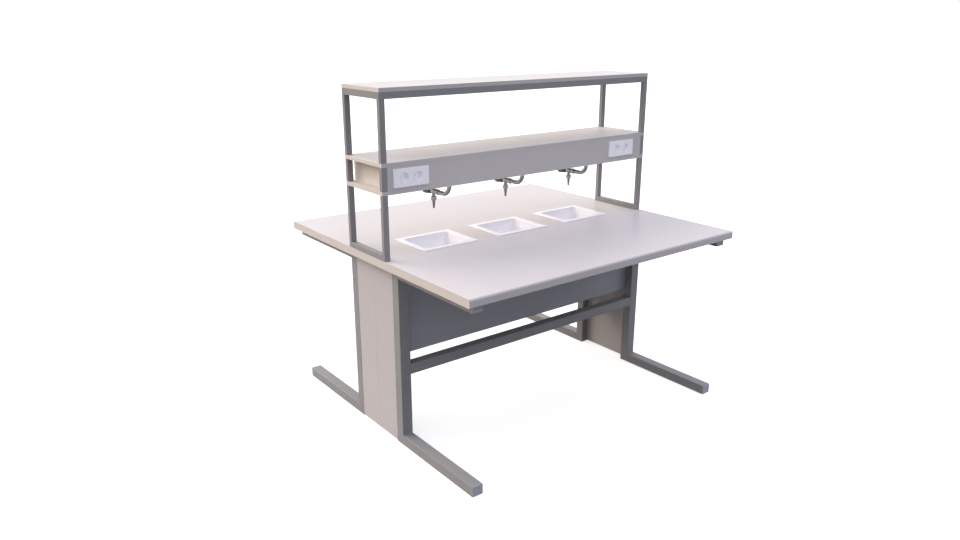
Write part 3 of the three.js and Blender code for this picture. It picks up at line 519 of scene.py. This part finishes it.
def c_frame(side, end):
    """Foot, column and arm in one outline, rounded everywhere but round the tubes' open ends."""
    node = f"c_frame_{side}_{end}"
    low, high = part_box(node)
    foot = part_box(f"foot_cap_{side}_{end}")[1].z
    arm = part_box(f"arm_cap_{side}_{end}")[0].z
    stretcher_low, stretcher_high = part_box(f"stretcher_{side}")
    depth = stretcher_high.y - stretcher_low.y
    inner, outer = (high.y, low.y) if side == "front" else (low.y, high.y)
    face = inner - depth if side == "front" else inner + depth
    outline = [(outer, low.z), (inner, low.z), (inner, high.z), (outer, high.z),
               (outer, arm), (face, arm), (face, foot), (outer, foot)]
    work = bmesh.new()
    add_skin(work, [[Vector((x, y, z)) for y, z in outline] for x in (low.x, high.x)], False)
    bmesh.ops.recalc_face_normals(work, faces=work.faces)
    edges = [edge for edge in work.edges if any(abs(vert.co.y - outer) > TOUCH for vert in edge.verts)]
    bmesh.ops.bevel(
        work, geom=edges, offset=TUBE_ROUND, segments=TUBE_STEPS, profile=0.5, affect="EDGES")
    dressed(node, mesh_of(work))


def shelf_base_frame(end):
    """A rail on the worktop with a post at each end."""
    node = f"shelf_base_frame_{end}"
    low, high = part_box(node)
    top = low.z + BASE_RAIL
    boxes = [(low, (high.x, high.y, top))]
    for y in (low.y, high.y - POST_DEPTH):
        boxes.append(((low.x, y, top), (high.x, y + POST_DEPTH, high.z)))
    boxes_piece(node, boxes, SHELF_ROUND)


def shelf_upper_frame():
    """A ring of rails under the top board, on four posts."""
    node = "shelf_upper_frame"
    low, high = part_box(node)
    under = high.z - UPPER_RAIL
    posts_x = (low.x, high.x - POST_WIDTH)
    boxes = []
    for y in (low.y, high.y - POST_DEPTH):
        boxes.append(((low.x, y, under), (high.x, y + POST_DEPTH, high.z)))
        for x in posts_x:
            boxes.append(((x, y, low.z), (x + POST_WIDTH, y + POST_DEPTH, under)))
    for x in posts_x:
        boxes.append(((x, low.y + POST_DEPTH, under), (x + POST_WIDTH, high.y - POST_DEPTH, high.z)))
    boxes_piece(node, boxes, SHELF_ROUND)


def duct_post(side, end):
    """A short post between the duct's boards, as deep as the posts above and below it."""
    node = f"duct_post_{side}_{end}"
    low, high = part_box(node)
    if side == "front":
        high.y = low.y + POST_DEPTH
    else:
        low.y = high.y - POST_DEPTH
    boxes_piece(node, [(low, high)], SHELF_ROUND)


for side, end in CORNERS:
    c_frame(side, end)
    node_piece(f"foot_cap_{side}_{end}", FOOT_CAP_EDGE)
    node_piece(f"arm_cap_{side}_{end}", ARM_CAP_EDGE)
for side in SIDES:
    stretcher = f"stretcher_{side}"
    boxes_piece(stretcher, [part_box(stretcher)], TUBE_ROUND, TUBE_STEPS)
for end in ENDS:
    shelf_base_frame(end)
shelf_upper_frame()
for side, end in CORNERS:
    duct_post(side, end)


# Cup sinks

FLANGE_THICK = 0.004
FLANGE_CORNER = 0.005
FLANGE_EDGE = 0.0015
CUP_LIP = 0.003
CUP_DEPTH = 0.120
CUP_DRAFT = 0.012
CUP_FOOT = 0.018
FLOOR_FALL = 0.006
DRAIN_BORE = 0.016
DRAIN_EDGE = 0.004
DRAIN_RISE = 0.0005
CROSS_BAR = 0.003
CROSS_HEIGHT = 0.004
CORNER_STEPS = 10


def rounded_ring(at, half_x, half_y, radius, height):
    """A rectangle with rounded corners, level at a height over a point."""
    points = []
    for corner in range(4):
        sign_x = 1 if corner in (0, 3) else -1
        sign_y = 1 if corner < 2 else -1
        for bend in quarter(CORNER_STEPS):
            turn = corner * math.pi / 2 + bend
            x = sign_x * (half_x - radius) + radius * math.cos(turn)
            y = sign_y * (half_y - radius) + radius * math.sin(turn)
            points.append(at + Vector((x, y, height)))
    return points


def cup_sink(number):
    """The moulding with its lip, wall foot and drain rounded over in arcs."""
    node = f"cup_sink_{number}"
    low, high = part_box(node)
    deck = high.z - FLANGE_THICK
    at = Vector(((low.x + high.x) / 2, (low.y + high.y) / 2, deck))
    flange_x, flange_y = (high.x - low.x) / 2, (high.y - low.y) / 2
    mouth_x, mouth_y = flange_x - CUP_RIM, flange_y - CUP_RIM
    floor = FLOOR_FALL - CUP_DEPTH
    under = -CUP_DEPTH - CUP_WALL
    spigot = low.z - deck
    rings = [rounded_ring(at, flange_x, flange_y, FLANGE_CORNER, 0.0)]
    for turn in quarter(4):
        inset = FLANGE_EDGE * (1 - math.cos(turn))
        height = FLANGE_THICK - FLANGE_EDGE * (1 - math.sin(turn))
        rings.append(rounded_ring(at, flange_x - inset, flange_y - inset, FLANGE_CORNER, height))
    for turn in quarter(5):
        out = CUP_LIP * (1 - math.sin(turn))
        height = FLANGE_THICK - CUP_LIP * (1 - math.cos(turn))
        rings.append(rounded_ring(at, mouth_x + out, mouth_y + out, CUP_CORNER + out, height))
    for turn in quarter(7):
        inset = CUP_DRAFT + CUP_FOOT * (1 - math.cos(turn))
        height = floor + CUP_FOOT * (1 - math.sin(turn))
        radius = CUP_CORNER - CUP_FOOT / 2 * (1 - math.cos(turn))
        rings.append(rounded_ring(at, mouth_x - inset, mouth_y - inset, radius, height))
    for turn in quarter(4):
        radius = DRAIN_BORE + DRAIN_EDGE * (1 - math.sin(turn))
        height = DRAIN_RISE - CUP_DEPTH - DRAIN_EDGE * (1 - math.cos(turn))
        rings.append(rounded_ring(at, radius, radius, radius, height))
    for radius, height in (
            (DRAIN_BORE, spigot),
            (DRAIN_BORE + CUP_WALL, spigot),
            (DRAIN_BORE + CUP_WALL, under)):
        rings.append(rounded_ring(at, radius, radius, radius, height))
    outside = CUP_CORNER + CUP_WALL
    for inset, radius, height in (
            (CUP_DRAFT + CUP_FOOT, outside - CUP_FOOT / 2, floor - CUP_WALL),
            (CUP_DRAFT - CUP_WALL, outside, floor + CUP_FOOT),
            (-CUP_WALL, outside, 0.0)):
        rings.append(rounded_ring(at, mouth_x - inset, mouth_y - inset, radius, height))
    work = bmesh.new()
    add_skin(work, rings, True)
    reach = DRAIN_BORE + CUP_WALL / 2
    for half_x, half_y in ((reach, CROSS_BAR / 2), (CROSS_BAR / 2, reach)):
        cross_low = at + Vector((-half_x, -half_y, under - CROSS_HEIGHT))
        cross_high = at + Vector((half_x, half_y, under))
        add_box(work, cross_low, cross_high)
    dressed(node, mesh_of(work), sharp=50)


for number in STATIONS:
    cup_sink(number)


# Sockets

PLATE_ROUND_SOLID = 0.006
PLATE_ROUND = 0.003
OUTLET_PITCH = 0.070
WELL_RADIUS = 0.0215
WELL_DEPTH_SOLID = 0.017
PINS_REACH = 0.0125
WELL_DEPTH = 0.012
WELL_TAPER = 0.28


def socket_plate(end):
    """The cover plate with tighter corners."""
    node = f"socket_plate_{end}"
    work = merged_copy(node)
    low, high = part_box(node)
    centre, half = (low + high) / 2, (high - low) / 2
    inner_x, inner_z = half.x - PLATE_ROUND_SOLID, half.z - PLATE_ROUND_SOLID
    for vert in work.verts:
        x, z = vert.co.x - centre.x, vert.co.z - centre.z
        across, up = redrawn(abs(x) - inner_x, abs(z) - inner_z, PLATE_ROUND_SOLID, PLATE_ROUND)
        vert.co.x = centre.x + math.copysign(inner_x + across, x)
        vert.co.z = centre.z + math.copysign(inner_z + up, z)
    dressed(node, mesh_of(work))


def socket_insert(end):
    """The insert with its straight wells drawn forward into tapered ones, and its pin holes in place."""
    node = f"socket_insert_{end}"
    work = merged_copy(node)
    low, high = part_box(node)
    middle = (low + high) / 2
    for vert in work.verts:
        depth = vert.co.y - low.y
        for outlet in (middle.x - OUTLET_PITCH / 2, middle.x + OUTLET_PITCH / 2):
            across, up = vert.co.x - outlet, vert.co.z - middle.z
            radius = math.hypot(across, up)
            if radius > WELL_RADIUS + TOUCH or depth > WELL_DEPTH_SOLID + TOUCH:
                continue
            share = depth / WELL_DEPTH_SOLID
            narrow = 1 - WELL_TAPER * share if radius > PINS_REACH else 1
            vert.co = (outlet + across * narrow, low.y + WELL_DEPTH * share, middle.z + up * narrow)
    dressed(node, mesh_of(work))


for end in ENDS:
    socket_plate(end)
    socket_insert(end)


# Taps

ROUND_SIDES = 48
NECK_RADIUS = 0.0105
NECK_BEND = 0.050
NECK_SIDES = 32
BEND_STEPS = 20
ROSE_RADIUS = 0.019
ROSE_HEIGHT = 0.005
ROSE_BORE = NECK_RADIUS - 0.001
UNION_FLATS = 0.025
UNION_LENGTH = 0.016
BARREL_RADIUS = 0.0120
BONNET_RADIUS = 0.0100
SPINDLE_RADIUS = 0.0040
STEM_RADIUS = 0.0090
THREAD_RADIUS = 0.0070
SEAM = 0.0003
NUT_FLATS = 0.025
NUT_HEIGHT = 0.018
NUT_FACE_STEP = 0.0004
NUT_CHAMFER = 0.6
TAIL_BORE = 0.0030
TAIL_SIDES = 32
BARBS = 6
BARB_FOOT = 0.0012
BARB_SMALLEST = 0.0050
BARB_GROWTH = 0.0034
BARB_STEP = 0.16
BARB_FILL = 0.85
HANDLE_NECK = 0.0160
HANDLE_HEAD = 0.0215
HANDLE_FOOT = 0.002
HANDLE_CROWN = 0.006
HANDLE_SIDES = 96
HANDLE_FLUTES = 6
FLUTE_DEPTH = 0.0015
FLUTE_SHAPE = 0.8

TAP_X = [(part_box(f"tap_neck_{n}")[0].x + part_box(f"tap_neck_{n}")[1].x) / 2 for n in STATIONS]
NECK_LOW, NECK_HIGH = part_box("tap_neck_1")
BODY_LOW, BODY_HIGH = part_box("tap_body_1")
NOZZLE_LOW, NOZZLE_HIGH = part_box("tap_nozzle_1")
HANDLE_LOW, HANDLE_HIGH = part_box("tap_handle_1")
DUCT_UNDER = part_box("duct_lower_board")[0].z
AXIS_Z = DUCT_UNDER - ROSE_HEIGHT - NECK_BEND
INLET_Y = NECK_LOW.y + ROSE_RADIUS
NOZZLE_Y = (NOZZLE_LOW.y + NOZZLE_HIGH.y) / 2


class Growth(Wiring):
    """A Geometry Nodes tree with named sizes, which ends in real geometry with one finish."""

    def __init__(self, name, sizes):
        super().__init__(bpy.data.node_groups.new(name, "GeometryNodeTree"))
        sockets = self.tree.interface
        sockets.new_socket("Geometry", in_out="INPUT", socket_type="NodeSocketGeometry")
        for label in sizes:
            sockets.new_socket(label, in_out="INPUT", socket_type="NodeSocketFloat")
        sockets.new_socket("Geometry", in_out="OUTPUT", socket_type="NodeSocketGeometry")

    def given(self, label):
        return self.node("NodeGroupInput", output=label)

    def close(self, geometry, slot):
        realized = self.node("GeometryNodeRealizeInstances", inputs={0: geometry})
        inputs = {"Geometry": realized, "Material": FINISHES[slot]}
        painted = self.node("GeometryNodeSetMaterial", inputs=inputs)
        self.node("NodeGroupOutput", inputs={0: painted})

    def identifier(self, label):
        return next(item.identifier for item in self.tree.interface.items_tree if item.name == label)


def grown(name, start, growth, sizes, slot, replaced, sharp):
    """Grows a tree on a starting mesh and keeps the result as a plain piece."""
    base = bpy.data.objects.new(name + "_start", start)
    bpy.context.scene.collection.objects.link(base)
    modifier = base.modifiers.new("growth", "NODES")
    modifier.node_group = growth.tree
    for label, value in sizes.items():
        modifier[growth.identifier(label)] = value
    graph = bpy.context.evaluated_depsgraph_get()
    mesh = bpy.data.meshes.new_from_object(base.evaluated_get(graph))
    base.modifiers.remove(modifier)
    bpy.data.objects.remove(base)
    piece(name, mesh, slot, replaced, sharp=sharp)


def bent_tube():
    """A tube along lines whose corners are filleted to the bend radius."""
    growth = Growth("bent_tube", ("Tube radius", "Bend radius"))
    line = growth.node("GeometryNodeMeshToCurve", inputs={0: growth.given("Geometry")})
    inputs = {"Curve": line, "Count": BEND_STEPS, "Radius": growth.given("Bend radius")}
    bent = growth.node("GeometryNodeFilletCurve", {"mode": "POLY"}, inputs)
    inputs = {"Resolution": NECK_SIDES, "Radius": growth.given("Tube radius")}
    circle = growth.node("GeometryNodeCurvePrimitiveCircle", inputs=inputs)
    inputs = {"Curve": bent, "Profile Curve": circle, "Fill Caps": True}
    growth.close(growth.node("GeometryNodeCurveToMesh", inputs=inputs), "tap_chrome")
    return growth


def tap_necks():
    """The three bent necks, from the duct down and across to the valve bodies."""
    work = bmesh.new()
    for x in TAP_X:
        run = [(x, INLET_Y, NECK_HIGH.z), (x, INLET_Y, AXIS_Z), (x, NECK_HIGH.y, AXIS_Z)]
        line = [work.verts.new(point) for point in run]
        work.edges.new(line[:2])
        work.edges.new(line[1:])
    sizes = {"Tube radius": NECK_RADIUS, "Bend radius": NECK_BEND}
    replaced = [f"tap_neck_{n}" for n in STATIONS]
    grown("tap_necks", plain_mesh(work), bent_tube(), sizes, "tap_chrome", replaced, sharp=50)


def tap_roses():
    """Cover roses under the duct, hollowed towards the necks."""
    profile = [(ROSE_BORE, 0.0), (ROSE_RADIUS, 0.0), (ROSE_RADIUS, -0.0015), (0.0182, -0.0026),
               (0.0155, -0.0036), (0.0130, -0.0046), (0.0114, -0.0058), (ROSE_BORE, -0.0066)]
    work = bmesh.new()
    for x in TAP_X:
        add_skin(work, turned(profile, (x, INLET_Y, DUCT_UNDER), "z", ROUND_SIDES), True)
    piece("tap_roses", mesh_of(work), "tap_chrome", [])


def hexagon(work, axis, at, low, high, flats):
    """A hexagon nut with its corners turned down at both ends."""
    corner = flats / math.sqrt(3)
    inner = flats / 2 - NUT_FACE_STEP
    chamfer = (corner - flats / 2) * NUT_CHAMFER
    rings = []
    for radius, height in ((inner, low), (corner, low + chamfer), (corner, high - chamfer), (inner, high)):
        def reach(turn):
            facet = (turn + math.pi / 6) % (math.pi / 3) - math.pi / 6
            return min(radius, flats / 2 / math.cos(facet))

        rings.append(ring_about(at, axis, height, ROUND_SIDES, reach))
    add_skin(work, rings, False)


def tap_body(number, x):
    """Union nut, swelling barrel, bonnet, spindle, and an outlet stem with its thread."""
    start = BODY_LOW.y
    end = HANDLE_LOW.y - SEAM
    at = (x, 0.0, AXIS_Z)
    work = bmesh.new()
    hexagon(work, "y", at, start, start + UNION_LENGTH, UNION_FLATS)
    barrel = [(0.0088, start + 0.0150), (0.0098, start + 0.0165), (0.0114, start + 0.0195),
              (BARREL_RADIUS, start + 0.0240), (BARREL_RADIUS, end - 0.0130), (0.0114, end - 0.0104),
              (BONNET_RADIUS, end - 0.0090), (BONNET_RADIUS, end - 0.0080)]
    add_skin(work, turned(barrel, at, "y", ROUND_SIDES), False)
    bonnet = [(0.0092, end - 0.0095), (BONNET_RADIUS, end - 0.0088), (BONNET_RADIUS, end - 0.0026),
              (0.0094, end - 0.0008), (0.0080, end), (SPINDLE_RADIUS, end), (SPINDLE_RADIUS, BODY_HIGH.y)]
    add_skin(work, turned(bonnet, at, "y", ROUND_SIDES), False)
    outlet = (x, NOZZLE_Y, 0.0)
    foot = NOZZLE_HIGH.z + SEAM
    stem = [(0.0082, foot), (STEM_RADIUS, foot + 0.0010), (STEM_RADIUS, foot + 0.0060),
            (0.0084, foot + 0.0072), (0.0084, foot + 0.0086), (0.0092, foot + 0.0100),
            (0.0098, foot + 0.0150), (0.0098, AXIS_Z)]
    add_skin(work, turned(stem, outlet, "z", ROUND_SIDES), False)
    thread = [(THREAD_RADIUS, BODY_LOW.z), (THREAD_RADIUS, foot + 0.0005)]
    add_skin(work, turned(thread, outlet, "z", TAIL_SIDES), False)
    dressed(f"tap_body_{number}", mesh_of(work))


def nozzle_barbs():
    """Barbs set down a tapering tail, one on each point of the starting mesh, sized by its reach."""
    growth = Growth("nozzle_barbs", ("Barb height", "Barb step"))
    inputs = {
        "Vertices": TAIL_SIDES,
        "Radius Top": 1.0,
        "Radius Bottom": 1 - growth.given("Barb step"),
        "Depth": growth.given("Barb height"),
    }
    cone = growth.node("GeometryNodeMeshCone", inputs=inputs, output="Mesh")
    settings = {"data_type": "FLOAT"}
    reach = growth.node("GeometryNodeInputNamedAttribute", settings, {"Name": "reach"}, "Attribute")
    scale = growth.node("ShaderNodeCombineXYZ", inputs={0: reach, 1: reach, 2: 1.0})
    inputs = {"Points": growth.given("Geometry"), "Instance": cone, "Scale": scale}
    growth.close(growth.node("GeometryNodeInstanceOnPoints", inputs=inputs), "tap_chrome")
    return growth


def tap_nozzles():
    """Nuts and tails in one piece, and the barbs of all three tails grown from their points."""
    nut_foot = NOZZLE_HIGH.z - NUT_HEIGHT
    tip = NOZZLE_LOW.z
    pitch = (nut_foot - tip) / (BARBS + 1)
    tail = [(TAIL_BORE, tip + 0.012), (TAIL_BORE, tip), (0.0036, tip), (0.0042, tip + 0.0010),
            (0.0074, nut_foot - 0.004), (0.0086, nut_foot - 0.0016), (0.0100, nut_foot + 0.0005),
            (TAIL_BORE, nut_foot + 0.0005)]
    work = bmesh.new()
    starts, reaches = [], []
    for x in TAP_X:
        at = (x, NOZZLE_Y, 0.0)
        hexagon(work, "z", at, nut_foot, NOZZLE_HIGH.z, NUT_FLATS)
        add_skin(work, turned(tail, at, "z", TAIL_SIDES), True)
        for barb in range(BARBS):
            starts.append((x, NOZZLE_Y, tip + barb * pitch + BARB_FOOT))
            reaches.append(BARB_SMALLEST + BARB_GROWTH * (barb + 1) / (BARBS + 1))
    replaced = [f"tap_nozzle_{n}" for n in STATIONS]
    piece("tap_nozzle_nuts", mesh_of(work), "tap_chrome", replaced, sharp=30)
    points = bpy.data.meshes.new("barb_points")
    points.from_pydata(starts, [], [])
    points.attributes.new("reach", "FLOAT", "POINT").data.foreach_set("value", reaches)
    sizes = {"Barb height": pitch * BARB_FILL, "Barb step": BARB_STEP}
    grown("tap_nozzle_barbs", points, nozzle_barbs(), sizes, "tap_chrome", [], sharp=30)


def handle_stations(length):
    """Radius, share of the full flute and place along the handle, from its foot over the crown."""
    stations = [(0.0140, 0.0, 0.0), (0.0155, 0.1, 0.0004), (HANDLE_NECK, 0.5, HANDLE_FOOT)]
    grip = length - HANDLE_FOOT - HANDLE_CROWN
    for step in range(1, 11):
        share = step / 10
        radius = HANDLE_NECK + (HANDLE_HEAD - HANDLE_NECK) * share
        stations.append((radius, 0.5 + 0.5 * share, HANDLE_FOOT + grip * share))
    for step, turn in enumerate(quarter(6)[1:], 1):
        radius = HANDLE_HEAD - HANDLE_CROWN * (1 - math.cos(turn))
        along = length - HANDLE_CROWN * (1 - math.sin(turn))
        stations.append((radius, 1 - 0.8 * step / 6, along))
    dish = [(0.0120, 0.0, length - 0.0002), (0.0080, 0.0, length - 0.0009), (0.0030, 0.0, length - 0.0011)]
    return stations + dish


def tap_handle(number, x):
    """Fluted grip that widens to a crown with a shallow dish."""
    at = (x, HANDLE_LOW.y, AXIS_Z)
    rings = []
    for radius, flute, along in handle_stations(HANDLE_HIGH.y - HANDLE_LOW.y):
        def reach(turn):
            wave = 0.5 + 0.5 * math.cos(HANDLE_FLUTES * turn)
            return radius - FLUTE_DEPTH * flute * wave ** FLUTE_SHAPE

        rings.append(ring_about(at, "y", along, HANDLE_SIDES, reach))
    work = bmesh.new()
    add_skin(work, rings, False)
    dressed(f"tap_handle_{number}", mesh_of(work), body=f"handle_{number}", sharp=50)


tap_necks()
tap_roses()
tap_nozzles()
for number, x in zip(STATIONS, TAP_X):
    tap_body(number, x)
    tap_handle(number, x)


# Pieces inside the duct and under the worktop

for hidden in ("waste_pipe", "water_feed_pipe", "socket_box_left", "socket_box_right"):
    node_piece(hidden, sharp=40)


# Floor, light and camera

WHITE = (1, 1, 1, 1)
FLOOR_SIZE = 30
FLOOR_SHOWN = (0.55, 0.55, 0.55, 1)
FLOOR_GLOW = 0.75
FLOOR_BOUNCE = (0.05, 0.05, 0.05, 1)
SKY_TINT = (0.93, 0.99, 1.17, 1)
SKY_SIDE = 0.06
SKY_RISE = 1.32
SENSOR_WIDTH = 36
FOCAL_LENGTH = 28.909
CAMERA_PLACE = (-2.4930, -2.9861, 1.9008)
CAMERA_DOWN = 17.698
CAMERA_TURN = -37.733
CAMERA_REACH = 100


def studio_floor():
    """White to the eye, with the bench's soft shadow, and a quieter bounce under the bench."""
    finish = Finish("studio_floor")
    bright = finish.node("ShaderNodeBsdfDiffuse", inputs={"Color": FLOOR_SHOWN})
    glow = finish.node("ShaderNodeEmission", inputs={"Strength": FLOOR_GLOW})
    shown = finish.node("ShaderNodeAddShader", inputs={0: bright, 1: glow})
    quiet = finish.node("ShaderNodeBsdfDiffuse", inputs={"Color": FLOOR_BOUNCE})
    mixed = finish.node("ShaderNodeMixShader", inputs={0: finish.seen_directly(), 1: quiet, 2: shown})
    finish.node("ShaderNodeOutputMaterial", inputs={"Surface": mixed})
    work = bmesh.new()
    bmesh.ops.create_grid(work, x_segments=1, y_segments=1, size=FLOOR_SIZE)
    mesh = plain_mesh(work)
    mesh.materials.append(finish.material)
    floor = bpy.data.objects.new("studio_floor", mesh)
    bpy.context.scene.collection.objects.link(floor)


def sky():
    """Cool even light, stronger from overhead than from the sides, in front of a white backdrop."""
    world = bpy.data.worlds.new("studio_sky")
    world.use_nodes = True
    dome = Wiring(world.node_tree)
    direction = dome.node("ShaderNodeTexCoord", output="Generated")
    rise = dome.node("ShaderNodeSeparateXYZ", inputs={0: direction}, output="Z")
    inputs = {"Color": SKY_TINT, "Strength": rise * SKY_RISE + SKY_SIDE}
    soft = dome.node("ShaderNodeBackground", inputs=inputs)
    white = dome.node("ShaderNodeBackground", inputs={"Color": WHITE})
    mixed = dome.node("ShaderNodeMixShader", inputs={0: dome.seen_directly(), 1: soft, 2: white})
    dome.node("ShaderNodeOutputWorld", inputs={"Surface": mixed})
    bpy.context.scene.world = world


def lamp(name, towards, energy, spread, colour):
    """A broad distant lamp in the direction that is given."""
    light = bpy.data.lights.new(name, "SUN")
    light.energy = energy
    light.angle = math.radians(spread)
    light.color = colour
    source = bpy.data.objects.new(name, light)
    bpy.context.scene.collection.objects.link(source)
    source.rotation_euler = Vector(towards).to_track_quat("Z", "Y").to_euler()


def photo_camera():
    """The camera fitted to the photo's straight edges."""
    lens = bpy.data.cameras.new("photo_camera")
    lens.sensor_width = SENSOR_WIDTH
    lens.lens = FOCAL_LENGTH
    lens.clip_end = CAMERA_REACH
    camera = bpy.data.objects.new("photo_camera", lens)
    bpy.context.scene.collection.objects.link(camera)
    camera.location = CAMERA_PLACE
    camera.rotation_euler = (math.radians(90 - CAMERA_DOWN), 0, math.radians(CAMERA_TURN))
    bpy.context.scene.camera = camera


studio_floor()
sky()
lamp("window_light", towards=(-0.42, 0.68, 0.60), energy=2.35, spread=55, colour=(1.0, 0.87, 0.66))
lamp("warm_fill", towards=(-1.0, 0.05, 0.12), energy=0.55, spread=60, colour=(1.0, 0.52, 0.25))
photo_camera()
bpy.context.scene.view_settings.view_transform = "Standard"
